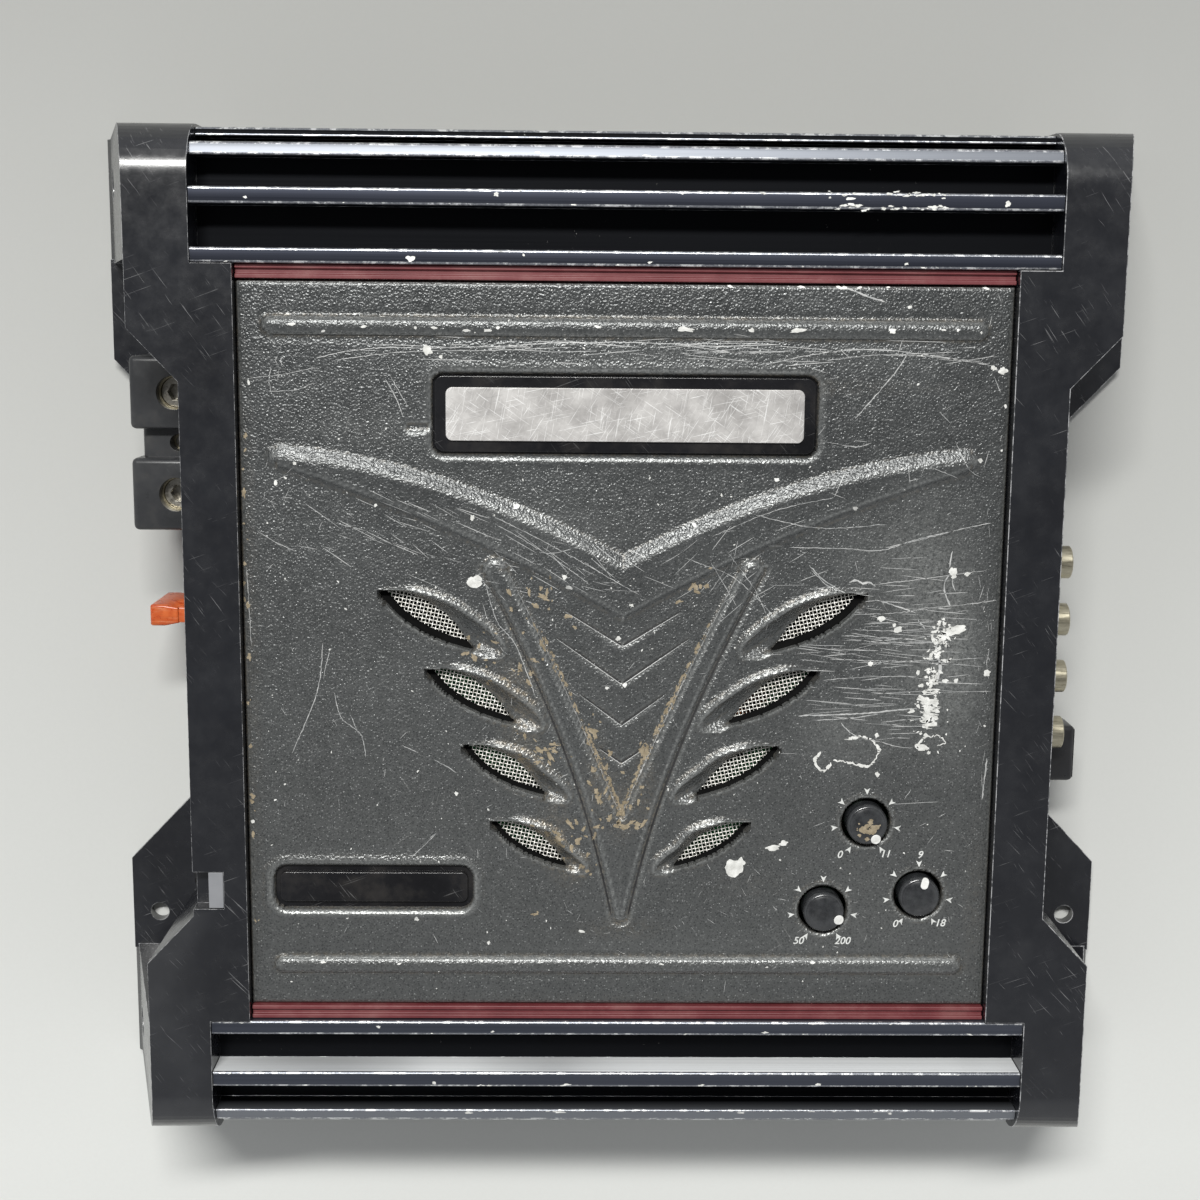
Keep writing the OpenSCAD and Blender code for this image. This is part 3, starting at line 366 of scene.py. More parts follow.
epoxy = satin("transistor_epoxy", (0.014, 0.014, 0.015), (0.026, 0.026, 0.028), (0.4, 0.55),
              bumps=0.3)
pad = satin("pad_grey", (0.22, 0.24, 0.27), (0.32, 0.34, 0.37), (0.6, 0.75), bumps=0.3)
bar_steel = brushed("clamp_steel", (0.34, 0.34, 0.35), (0.52, 0.52, 0.53))
bare = satin("bare_metal", (0.58, 0.58, 0.55), (0.88, 0.88, 0.85), (0.4, 0.55), 0.15, grain=2.5,
             blotch=0.5, bumps=0.6)
# Pale finish of the scratches, also used for the painted highlights on the panel's steps and edges.
scuff_and_highlight = satin("scuff_and_highlight", (0.34, 0.35, 0.35), (0.60, 0.60, 0.59), (0.45, 0.6), 0.2, grain=3.0,
              blotch=0.4, bumps=0.3)
print_white = satin("print_white", (0.55, 0.56, 0.54), (0.78, 0.79, 0.77), (0.45, 0.6), grain=4.0,
                    blotch=0.9, bumps=0.1)
# Painted shade: the near-black finish of the frame below the vent openings stands in for the shade
# there.
painted_shade_frame = satin("painted_shade_frame", (0.001, 0.001, 0.001), (0.003, 0.003, 0.003), (0.7, 0.85),
                    shine=0.1)
shade_line = satin("shade_line", (0.010, 0.010, 0.011), (0.028, 0.028, 0.029), (0.5, 0.65),
                   grain=2.0, blotch=0.3)


CARRIED = (
    (board, "main_board control_board"), (brass, "standoffs"), (zinc, "board_screws clamp_screws"),
    (pot_body, "gain_pot crossover_pot boost_pot"),
    (ground_steel, "gain_shaft crossover_shaft boost_shaft"),
    (terminal_metal, "ground_terminal_block positive_terminal_block remote_terminal_block "
                     "speaker_terminal_blocks"),
    (terminal, "fuse_holder"), (tinned, "fuse_clips fuse_blades"), (insulator, "rca_insulators"),
    (gold, "remote_jack_contacts"), (ferrite, "transformer_core inductor_core"),
    (copper, "transformer_winding inductor_winding"), (epoxy, "power_transistors"),
    (sleeve, "input_capacitors output_capacitors"), (pad, "insulating_pads"),
    (bar_steel, "clamp_bars"), (black_oxide, "end_cap_screws bottom_screws"),
)
for finish, nodes in CARRIED:
    for node in nodes.split():
        slots = frame["nodes"][node].data.materials
        slots.clear()
        slots.append(finish)


# ---------------------------------------------------------------- mesh helpers


BODY_OF = {n: b for b, ns in frame["record"]["behaviour"]["bodies"].items() for n in ns}
SLOT_OF = {s["node"]: s["material_slot"] for s in frame["record"]["subparts"]}
SAME_POINT = 2e-6


def add_piece(name, verts, faces, finishes, node=None, body="chassis", slot=None, sharp=35):
    """A new mesh piece, its vertices in mm, riding on a body and standing for a CAD node."""
    data = bpy.data.meshes.new(name)
    data.from_pydata([tuple(c * MM for c in v) for v in verts], [], faces)
    data.update()
    return finish_piece(name, data, finishes, node, body, slot, sharp)


def finish_piece(name, data, finishes, node=None, body="chassis", slot=None, sharp=35):
    for finish in finishes:
        data.materials.append(finish)
    data.polygons.foreach_set("use_smooth", [True] * len(data.polygons))
    if sharp:
        data.set_sharp_from_angle(angle=math.radians(sharp))
    obj = bpy.data.objects.new(name, data)
    bpy.context.scene.collection.objects.link(obj)
    if node:
        body, slot = BODY_OF[node], SLOT_OF[node]
        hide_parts(node)
    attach(obj, body)
    return obj


def refined(node, name, finishes, width, segments=2, edit=None):
    """A copy of a CAD node with its edges rounded; the rounding takes the second finish."""
    data = frame["nodes"][node].data.copy()
    data.materials.clear()
    bm = bmesh.new()
    bm.from_mesh(data)
    bmesh.ops.remove_doubles(bm, verts=bm.verts, dist=SAME_POINT)
    bmesh.ops.dissolve_limit(bm, angle_limit=math.radians(0.6), verts=bm.verts, edges=bm.edges)
    for face in bm.faces:
        face.material_index = 0
    if edit:
        edit(bm)
    bm.to_mesh(data)
    bm.free()
    obj = finish_piece(name, data, finishes, node, sharp=32)
    rounding = obj.modifiers.new("edges", "BEVEL")
    rounding.width = width * MM
    rounding.segments = segments
    rounding.limit_method = "ANGLE"
    rounding.angle_limit = math.radians(30)
    rounding.material = len(finishes) - 1
    rounding.harden_normals = True
    rounding.use_clamp_overlap = True


def round_outside(radius, shortest, finish=-1):
    """An edit for refined() that rounds the convex edges over a length with a larger radius.
    The rounding takes the finish with this number, or its neighbour's."""
    def edit(bm):
        bm.normal_update()
        edges = [e for e in bm.edges if e.is_manifold and e.is_convex
                 and e.calc_length() > shortest * MM
                 and e.calc_face_angle() > math.radians(40)]
        bmesh.ops.bevel(bm, geom=edges, offset=radius * MM, offset_type="OFFSET", segments=4,
                        profile=0.5, affect="EDGES", clamp_overlap=False, material=finish)
    return edit


def join_parts(parts):
    """Several (verts, faces) lists as one."""
    verts, faces = [], []
    for part_verts, part_faces in parts:
        start = len(verts)
        verts += [tuple(v) for v in part_verts]
        faces += [tuple(start + i for i in f) for f in part_faces]
    return verts, faces


def ring_faces(rings, sides):
    """The quads between rings of vertices, each ring joined to the next."""
    return [(j * sides + k, j * sides + (k + 1) % sides, (j + 1) * sides + (k + 1) % sides,
             (j + 1) * sides + k) for j in range(rings - 1) for k in range(sides)]


def end_faces(rings, sides):
    """The two faces that close the first and the last ring."""
    return [tuple(range(sides))[::-1], tuple((rings - 1) * sides + k for k in range(sides))]


def lathe(profile, at, sides):
    """Turns a profile of (radius, height) points round an upright axis, in mm."""
    verts = []
    for r, height in profile:
        for k in range(sides):
            a = 2 * math.pi * k / sides
            verts.append((at[0] + r * math.cos(a), at[1] + r * math.sin(a), height))
    return verts, ring_faces(len(profile), sides) + end_faces(len(profile), sides)


def tube(path, radius, sides):
    """A tube along a path of 3-D points, in mm, closed at both ends."""
    p = np.asarray(path, float)
    t = np.gradient(p, axis=0)
    t /= np.linalg.norm(t, axis=1)[:, None]
    side = np.cross(t, (0.0, 0.0, 1.0))
    side /= np.maximum(np.linalg.norm(side, axis=1)[:, None], 1e-9)
    over = np.cross(side, t)
    turn = 2 * np.pi * np.arange(sides) / sides
    rings = (p[:, None, :] + radius * (np.cos(turn)[None, :, None] * side[:, None, :]
                                       + np.sin(turn)[None, :, None] * over[:, None, :]))
    return rings.reshape(-1, 3).tolist(), ring_faces(len(p), sides) + end_faces(len(p), sides)


def limits(node):
    low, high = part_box(node)
    return [c / MM for c in low], [c / MM for c in high]


def centre(node):
    low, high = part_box(node)
    return tuple((low + high) / 2 / MM)


# ---------------------------------------------------------------- panel shape


PANEL_X, PANEL_Y, PANEL_TOP = limits("top_panel")[1]
PANEL_Z = PANEL_TOP - 1.0
RIB_Y, RIB_HALF, RIB_W = 74.8, 81.7, 4.6
KNOBS = {n: centre(n + "_knob")[:2] for n in ("gain", "crossover", "boost")}
WELL_R = 5.75
BADGE = (centre("badge_plate"), (87.0, 18.0))
PLATE = (centre("name_plate"), (46.4, 10.4))
BADGE_R, PLATE_R = 2.5, 3.0
PANEL_SLOT = ((-46.8, 52.3), (4.6, 1.3))
BAND_END = 78.7
POINT_Y, CROTCH_Y, ARM_Y, POINT_R = -62.6, -38, 20.0, 1.6
FAR = 99.0


def ease(t):
    t = np.clip(t, 0, 1)
    return t * t * (3 - 2 * t)


def bell(x, mid, width):
    return np.exp(-((x - mid) / width) ** 2)


def band_edges(a):
    return 23.6 + 0.545 * a - 0.0029 * a * a, 7.9 + 0.575 * a - 0.00175 * a * a


def bone_outer(y):
    t = np.clip((y - POINT_Y) / (ARM_Y - POINT_Y), 0, 1)
    return POINT_R + 16.6 * t + 14.1 * t * t


def bone_inner(y):
    s = np.clip((y - CROTCH_Y) / (ARM_Y - CROTCH_Y), 0, 1)
    return 26.6 * (0.9 * s + 0.1 * s * s)


VENT_TIPS = [(-56 + 10.65 * i - 1.05 * i * (i - 1), 14 - 18.15 * i) for i in range(4)]
VENT_SIZE = (1.0, 0.945, 0.885, 0.83)
SCOOP_SIZE = (1.0, 0.93, 0.78, 0.62)
OPEN_UPPER = [(0, 0), (1.8, 0.5), (6.0, 0.0), (9.5, -1.3), (13.1, -3.3), (15.9, -5.6),
              (18.4, -8.5), (20.2, -11.2), (21.2, -13.0)]
OPEN_LOWER = [(16.6, -11.8), (12.8, -10.4), (9.0, -8.5), (4.6, -5.4), (1.6, -2.2)]
SCOOP = [(6.0, 0.9), (11.7, -0.4), (16.6, -2.3), (20.6, -4.8), (24.2, -7.4), (27.2, -10.2),
         (28.6, -12.4), (28.3, -14.0), (26.6, -14.6), (23.6, -14.2)]


def curve_through(points, steps=6, closed=True):
    """A smooth line through points, closed unless told otherwise."""
    p = np.array(points, float)
    n = len(p)
    out = []
    for i in range(n if closed else n - 1):
        before, after = (i - 1) % n, (i + 2) % n
        if not closed:
            before, after = max(i - 1, 0), min(i + 2, n - 1)
        a, b, c, d = p[before], p[i], p[(i + 1) % n], p[after]
        for s in np.arange(steps) / steps:
            out.append(0.5 * (2 * b + (c - a) * s + (2 * a - 5 * b + 4 * c - d) * s * s
                              + (3 * b - a - 3 * c + d) * s ** 3))
    if not closed:
        out.append(p[-1])
    return np.array(out)


def vent_outlines(i, side):
    """The opening's and the whole leaf's outline, in mm in the panel's plane."""
    size, scoop = VENT_SIZE[i], SCOOP_SIZE[i]
    tip = np.array(VENT_TIPS[i])
    end = np.array(OPEN_UPPER[-1])
    opening = curve_through([np.array(p) * size for p in OPEN_UPPER + OPEN_LOWER], 5) + tip
    leaf = [np.array((0, 0)), np.array((1.8, 0.7)) * size, np.array(SCOOP[0]) * size]
    for p in map(np.array, SCOOP[1:]):
        share = min(1.0, max(0.0, (p[0] - 6.0) / 15.0))
        pull = scoop + (size - scoop) * (1 - share)
        leaf.append(end * size + (p - end) * pull if p[0] > 20 else p * size)
    leaf += [end * size] + [np.array(p) * size for p in OPEN_LOWER]
    leaf = curve_through(leaf, 5) + tip
    return opening * (-side, 1), leaf * (-side, 1)


def signed_distance(outline, x, y):
    """Distance to a closed outline, below zero inside."""
    best = np.full(x.shape, 1e9)
    inside = np.zeros(x.shape, bool)
    for (ax, ay), (bx, by) in zip(outline, np.roll(outline, -1, axis=0)):
        ex, ey = bx - ax, by - ay
        t = np.clip(((x - ax) * ex + (y - ay) * ey) / max(ex * ex + ey * ey, 1e-12), 0, 1)
        best = np.minimum(best, (x - ax - t * ex) ** 2 + (y - ay - t * ey) ** 2)
        inside ^= ((ay > y) != (by > y)) & (x < (bx - ax) * (y - ay) / (by - ay + 1e-12) + ax)
    best = np.sqrt(best)
    return np.where(inside, -best, best)


def near(outline, x, y, reach):
    """Signed distance where it matters, and a large value elsewhere."""
    low, high = outline.min(0) - reach, outline.max(0) + reach
    pick = (x > low[0]) & (x < high[0]) & (y > low[1]) & (y < high[1])
    d = np.full(x.shape, FAR)
    if pick.any():
        d[pick] = signed_distance(outline, x[pick], y[pick])
    return d


def rounded_box(x, y, mid, size, r):
    qx = np.abs(x - mid[0]) - size[0] / 2 + r
    qy = np.abs(y - mid[1]) - size[1] / 2 + r
    return np.hypot(np.maximum(qx, 0), np.maximum(qy, 0)) + np.minimum(np.maximum(qx, qy), 0) - r


VENTS = [vent_outlines(i, side) for side in (-1, 1) for i in range(4)]
V_LINES = [((13.3, 10.6), (0, 2.35)), ((15.3, 4.3), (0, -6.5)),
           ((9.9, -8.9), (0, -16.25)), ((5.2, -21.8), (0, -25.4))]


def bone_distance(x, y):
    """Inside distance to the wishbone's edges (outer, inner), in mm; below zero outside."""
    a = np.abs(x)
    slant = 0.88
    outer = (bone_outer(y) - a) * slant
    inner = np.where(y > CROTCH_Y, (a - bone_inner(y)) * slant, np.hypot(a, y - CROTCH_Y))
    arm_r = (bone_outer(ARM_Y) - bone_inner(ARM_Y)) / 2
    tip = arm_r - np.hypot(a - (bone_inner(ARM_Y) + arm_r), y - ARM_Y)
    outer = np.where(y < POINT_Y, POINT_R - np.hypot(a, y - POINT_Y), outer)
    return np.where(y > ARM_Y, tip, outer), np.where(y > ARM_Y, tip, inner)


def bevel(d, width):
    """Rises from 0 to 1 over a width, straight in the middle and soft at both ends."""
    t = np.clip(d / width, 0, 1)
    return 0.6 * t + 0.4 * ease(t)


def band_height(x, y):
    a = np.abs(x)
    top, low = band_edges(a)
    end_top, end_low = band_edges(BAND_END)
    r = (end_top - end_low) / 2
    round_end = r * 0.95 - np.hypot(a - BAND_END, y - (end_top + end_low) / 2)
    upper = np.where(a > BAND_END, round_end, (top - y) * 0.89)
    lower = np.where(a > BAND_END, round_end, (y - low) * 0.89)
    inside = (upper > 0) & (lower > 0)
    across = np.clip(upper / np.maximum(upper + lower, 1e-6), 0, 1)
    h = 1.5 * bevel(upper, 3.0) * (1 - 0.45 * across) * bevel(lower, 1.7)
    h += 0.16 * bell(lower, 2.0, 1.1) * ease((79 - a) / 10)
    return np.where(inside, h, 0)


def vent_height(x, y, z):
    for i, (opening, leaf) in enumerate(VENTS):
        d_leaf = near(leaf, x, y, 4.0)
        d_open = near(opening, x, y, 14.0)
        share = np.clip(-d_leaf / np.maximum(-d_leaf + np.maximum(d_open, 0), 1e-6), 0, 1)
        z = np.where(d_leaf < 0, z - 2.3 * ease(share ** 0.8), z)
        side = 1 if i < 4 else -1
        tip = np.array(VENT_TIPS[i % 4]) * (side, 1)
        size = VENT_SIZE[i % 4]
        cx, cy = 0.88 * side, -0.47
        above = (cx * (y - tip[1]) - cy * (x - tip[0])) * side
        along = (cx * (x - tip[0]) + cy * (y - tip[1])) / size
        lip = ease(above / 2.0 + 0.6) * ease((along - 3) / 6) * ease((33 - along) / 5)
        z = z + 0.85 * bell(d_leaf, 0.45, 0.7) * lip + 0.18 * bell(d_leaf, 0.25, 0.4) * (1 - lip)
    return z


def pocket_height(d, depth, width, rim):
    """A pocket with a sloping wall outside distance 0 and a raised rim round it."""
    return rim * bell(d, width + 0.7, 0.9) - depth * (1 - bevel(d, width)) * (d < width)


def surface(x, y):
    """Height of the panel above the CAD panel's top, in mm."""
    x = np.asarray(x, float)
    y = np.asarray(y, float)
    a = np.abs(x)
    along = np.maximum(a - (RIB_HALF - RIB_W / 2), 0)
    rib = np.hypot(along, np.abs(y) - RIB_Y) / (RIB_W / 2)
    z = 1.35 * np.sqrt(np.clip(1 - rib ** 2, 0, 1)) * (rib < 1) * ease((1 - rib) * 3.5)
    z -= 0.12 * bell(rib, 1.25, 0.3)
    z += band_height(x, y)
    outer, inner = bone_distance(x, y)
    deep = np.minimum(outer, inner)
    crown = 0.85 * bevel(deep, 1.1) + 0.35 * ease(outer / 4.5) + 0.25 * ease((y - 12) / 9)
    raised = np.where(deep > 0, np.minimum(crown, 1.4 * np.sqrt(np.clip(deep, 0, 1.2))), 0)
    z = np.where(deep > 0, np.maximum(z, raised), z)
    z -= 0.40 * bell(outer, -0.35, 0.5) * (y < ARM_Y + 1)
    z -= 0.12 * bell(inner, -0.35, 0.45) * (y < ARM_Y) * (outer > 0)
    for (px, py), (qx, qy) in V_LINES:
        ex, ey = qx - px, qy - py
        t = np.clip(((a - px) * ex + (y - py) * ey) / (ex * ex + ey * ey), 0, 1)
        off_x, off_y = a - px - t * ex, y - py - t * ey
        z -= 0.26 * bell(np.hypot(off_x, off_y), 0, 0.45) * (0.35 + 0.65 * t)
        z += 0.16 * bell(off_y, -1.0, 0.9) * bell(off_x, 0, 1.5) * t
    z = vent_height(x, y, z)
    for mid in KNOBS.values():
        d = np.hypot(x - mid[0], y - mid[1]) - WELL_R
        z += 0.25 * bell(d, 0.6, 0.45)
        z -= 0.4 * ease(1 - d / 0.5)
    z += pocket_height(rounded_box(x, y, *BADGE, BADGE_R), 0.8, 0.9, 0.15)
    z += pocket_height(rounded_box(x, y, *PLATE, PLATE_R), 0.8, 0.7, 0.45)
    slot = rounded_box(x, y, *PANEL_SLOT, 0.6)
    z -= 0.7 * (1 - bevel(slot, 0.6)) * (slot < 0.6)
    border = np.minimum(PANEL_X - a, PANEL_Y - np.abs(y))
    z -= 0.75 * (1 - np.sqrt(np.clip(1 - (1 - np.clip(border / 0.9, 0, 1)) ** 2, 0, 1)))
    return z


def openings_distance(x, y):
    """Distance to the nearest hole through the panel, below zero inside it."""
    d = np.full(x.shape, FAR)
    for opening, _ in VENTS:
        d = np.minimum(d, near(opening, x, y, 3.0))
    for mid in KNOBS.values():
        d = np.minimum(d, np.hypot(x - mid[0], y - mid[1]) - WELL_R)
    d = np.minimum(d, rounded_box(x, y, *BADGE, BADGE_R))
    return np.minimum(d, rounded_box(x, y, *PLATE, PLATE_R))


# Each spot: its middle in x and y, its reach in x and y, and its strength.
RUBBED = [
    (70, 8, 9, 26, 1), (78, -2, 6, 20, 0.9), (52, -18, 12, 8, 0.7), (60, 24, 16, 12, 0.5),
    (-60, 52, 16, 5, 0.35), (10, 68, 60, 4, 0.45), (60, -64, 22, 14, 0.35),
    (-20, 30, 26, 6, 0.4), (4, -70, 40, 4, 0.3), (-50, -8, 18, 18, 0.18)]
DIRTY = [
    (-24, -14, 5, 12, 0.9), (-16, -42, 4, 7, 1), (-26, -6, 5, 4, 0.6), (0, -36, 4, 8, 1),
    (6, -30, 3, 10, 0.8), (-6, -28, 3, 10, 0.9), (-86, 0, 3, 80, 0.5), (20, 62, 60, 2.5, 0.5),
    (84, -60, 3, 24, 0.45), (-22, -26, 5, 5, 0.9), (0, -66, 12, 3, 0.6), (-12, -52, 4, 4, 0.9),
    (30, -55, 16, 5, 0.3), (0, -83, 80, 1.5, 0.3)]


def strength(spots, x, y):
    return sum(s * bell(x, cx, sx) * bell(y, cy, sy) for cx, cy, sx, sy, s in spots)


def build_panel():
    """The whole sheet as a height field. Grid points near an opening are pulled to its edge."""
    across, up = 312, 304
    step = 2 * max(PANEL_X / across, PANEL_Y / up)
    gx, gy = np.meshgrid(np.linspace(-PANEL_X, PANEL_X, across + 1),
                         np.linspace(-PANEL_Y, PANEL_Y, up + 1), indexing="ij")
    x, y = gx.ravel().copy(), gy.ravel().copy()
    edge = (np.abs(x) > PANEL_X - 1e-6) | (np.abs(y) > PANEL_Y - 1e-6)
    for _ in range(3):
        d = openings_distance(x, y)
        e = 0.01
        nx = (openings_distance(x + e, y) - openings_distance(x - e, y)) / (2 * e)
        ny = (openings_distance(x, y + e) - openings_distance(x, y - e)) / (2 * e)
        size = np.maximum(np.hypot(nx, ny), 1e-6)
        pull = (np.abs(d) < 0.55 * step) & ~edge
        x = np.where(pull, x - d * nx / size, x)
        y = np.where(pull, y - d * ny / size, y)
    d = openings_distance(x, y)
    z = PANEL_Z + surface(x, y)
    index = np.arange(x.size).reshape(gx.shape)
    quads = np.stack([index[:-1, :-1], index[1:, :-1], index[1:, 1:], index[:-1, 1:]],
                     -1).reshape(-1, 4)
    mid = openings_distance(x[quads].mean(1), y[quads].mean(1))
    quads = quads[(mid > 0) & (d[quads].min(1) > -0.2)]
    data = bpy.data.meshes.new("panel_shell")
    data.from_pydata(np.stack([x, y, z], 1) * MM, [], quads.tolist())
    h = 0.35
    curve = (surface(x + h, y) + surface(x - h, y) + surface(x, y + h) + surface(x, y - h)
             - 4 * surface(x, y)) / (h * h)
    convex, concave = np.clip(-curve / 1.6, 0, 1), np.clip(curve / 1.6, 0, 1)
    # Wear: convex ridges, partly a painted ridge highlight, plus the listed rubbed spots. Grime:
    # hollows and dirty spots.
    wear = np.clip(0.85 * convex + 0.55 * strength(RUBBED, x, y), 0, 1)
    dirt = np.clip(0.45 * concave + strength(DIRTY, x, y) * (0.35 + 0.9 * concave), 0, 1)
    for name, values in (("wear", wear), ("grime", dirt)):
        layer = data.attributes.new(name, "FLOAT", "POINT")
        layer.data.foreach_set("value", values.astype(np.float32))
    bm = bmesh.new()
    bm.from_mesh(data)
    bmesh.ops.delete(bm, geom=[v for v in bm.verts if not v.link_faces], context="VERTS")
    rim = [e for e in bm.edges if e.is_boundary]
    grown = bmesh.ops.extrude_edge_only(bm, edges=rim)
    hem, wall, pocket, under = 5.0, 2.5, 1.6, 0.3
    for v in (g for g in grown["geom"] if isinstance(g, bmesh.types.BMVert)):
        outer = max(abs(v.co.x) / MM - PANEL_X, abs(v.co.y) / MM - PANEL_Y) > -0.05
        v.co.z = (PANEL_Z - (hem if outer else wall)) * MM
    for (mid, size), r in ((BADGE, BADGE_R + under), (PLATE, PLATE_R + under)):
        ring = []
        for k in range(40):
            t = 2 * math.pi * (k + 0.5) / 40
            px = mid[0] + math.copysign(size[0] / 2 + under - r, math.cos(t)) + r * math.cos(t)
            py = mid[1] + math.copysign(size[1] / 2 + under - r, math.sin(t)) + r * math.sin(t)
            ring.append(bm.verts.new((px * MM, py * MM, (PANEL_Z - pocket) * MM)))
        bm.faces.new(ring).material_index = 1
    bm.normal_update()
    bm.to_mesh(data)
    bm.free()
    finish_piece("panel_shell", data, [paint, badge_black], "top_panel", sharp=50)


build_panel()


# ---------------------------------------------------------------- wire mesh


MESH_SHIFT = (1.5, 1.2, 0.95, 0.8)


def build_weave(side, node):
    """Woven wire behind the vents, in a near-black frame of painted shade that shows at each
    opening's lower edge.
    """
    pitch, wire_r, wires, quarters = 0.88, 0.135, 20, 72
    z = limits(node)[1][2] - 0.42
    turn = math.radians(12 * side)
    u = np.array([math.cos(turn), math.sin(turn)])
    v = np.array([-u[1], u[0]])
    parts, frames = [], []
    for i, (opening, _) in enumerate(VENTS[:4] if side < 0 else VENTS[4:]):
        inner = opening + np.array((-side * 0.62, 0.78)) * MESH_SHIFT[i]
        mid = inner.mean(0)
        inner = mid + (inner - mid) * 0.96
        wide = mid + (inner - mid) * 1.55
        rings = ((inner, -0.3), (inner, 0.4), (wide, 0.4))
        frames.append(([(*p, z + rise) for ring, rise in rings for p in ring],
                       ring_faces(3, len(inner))))
        for a, b, lift in ((u, v, 0), (v, u, 1)):
            for k in range(-wires, wires + 1):
                s = np.arange(-quarters, quarters + 1) * pitch / 4
                p = mid + np.outer(s, a) + k * pitch * b
                keep = signed_distance(inner, p[:, 0], p[:, 1]) < 0.7
                wave = 0.15 * np.sin(np.pi * s / pitch + np.pi * (k + lift))
                run = []
                for j in range(len(s) + 1):
                    if j < len(s) and keep[j]:
                        run.append((p[j, 0], p[j, 1], z + wave[j]))
                    elif run:
                        if len(run) > 3:
                            parts.append(tube(run, wire_r, 4))
                        run = []
    count = sum(len(wire_faces) for _, wire_faces in parts)
    verts, faces = join_parts(parts + frames)
    obj = add_piece(f"wire_weave_{'left' if side < 0 else 'right'}", verts, faces,
                    [mesh_wire, painted_shade_frame], node, sharp=None)
    for face in obj.data.polygons[count:]:
        face.material_index = 1


build_weave(-1, "vent_mesh_left")
build_weave(1, "vent_mesh_right")


# ---------------------------------------------------------------- marks on the panel


def on_panel(points, lift):
    """3-D points over 2-D ones, a little above the panel."""
    pts = np.array(points)
    return np.column_stack([pts, PANEL_Z + surface(pts[:, 0], pts[:, 1]) + lift]).tolist()


def drape(points, width, lift=0.02):
    """A thin tapering strip that lies on the panel along 2-D points, in mm."""
    p = np.asarray(points, float)
    t = np.gradient(p, axis=0)
    t /= np.maximum(np.linalg.norm(t, axis=1)[:, None], 1e-9)
    n = np.stack([-t[:, 1], t[:, 0]], 1)
    m = len(p)
    w = np.broadcast_to(np.asarray(width, float), (m,)) / 2
    w = w * np.minimum(1, np.minimum(np.arange(m), np.arange(m)[::-1]) / 2 + 0.25)
    verts = on_panel(np.concatenate([p + n * w[:, None], p - n * w[:, None]]), lift)
    return verts, [(i, i + 1, m + i + 1, m + i) for i in range(m - 1)]


SMALLER = 0.62


def blob(mid, size, seed, stretch, turn, lift=0.02, ragged=0.35):
    """A ragged flat patch on the panel. Neighbours differ a little in height."""
    rng = random.Random(seed)
    lift += 0.008 * (seed % 9)
    count = 18
    c, s = math.cos(turn), math.sin(turn)
    radii = [1 + ragged * (rng.random() * 2 - 1) for _ in range(count)]
    ring = []
    for k in range(count):
        a = 2 * math.pi * k / count
        r = size * (radii[k] * 0.6 + radii[(k + 1) % count] * 0.4)
        px, py = r * math.cos(a) * stretch, r * math.sin(a)
        ring.append((mid[0] + c * px - s * py, mid[1] + s * px + c * py))
    return on_panel([mid] + ring, lift), fan(count)


def fan(count):
    """Triangles from a middle vertex to a ring of others."""
    return [(0, k + 1, (k + 1) % count + 1) for k in range(count)]


def wander(a, b, bend, seed, rough=0.12, step=0.7):
    """A line from a to b with a bend and a little wobble."""
    rng = np.random.default_rng(seed)
    a, b = np.array(a, float), np.array(b, float)
    n = max(4, int(np.hypot(*(b - a)) / step))
    t = np.linspace(0, 1, n)
    across = np.array([-(b - a)[1], (b - a)[0]]) / max(np.hypot(*(b - a)), 1e-6)
    wobble = np.convolve(rng.normal(0, rough, n + 8), np.ones(5) / 5, "same")[4:4 + n]
    return a + np.outer(t, b - a) + np.outer(4 * bend * t * (1 - t) + wobble, across)


def path_of(values, seed, rough=0.1, step=0.6):
    """A slightly shaky line through points that are given as x, y, x, y and so on."""
    rng = np.random.default_rng(seed)
    fine = curve_through(np.reshape(values, (-1, 2)), 10, closed=False)
    gaps = np.r_[0, np.cumsum(np.hypot(*np.diff(fine, axis=0).T))]
    n = max(4, int(gaps[-1] / step))
    at = np.linspace(0, gaps[-1], n)
    line = np.column_stack([np.interp(at, gaps, fine[:, 0]), np.interp(at, gaps, fine[:, 1])])
    return line + rng.normal(0, rough * 0.5, line.shape)


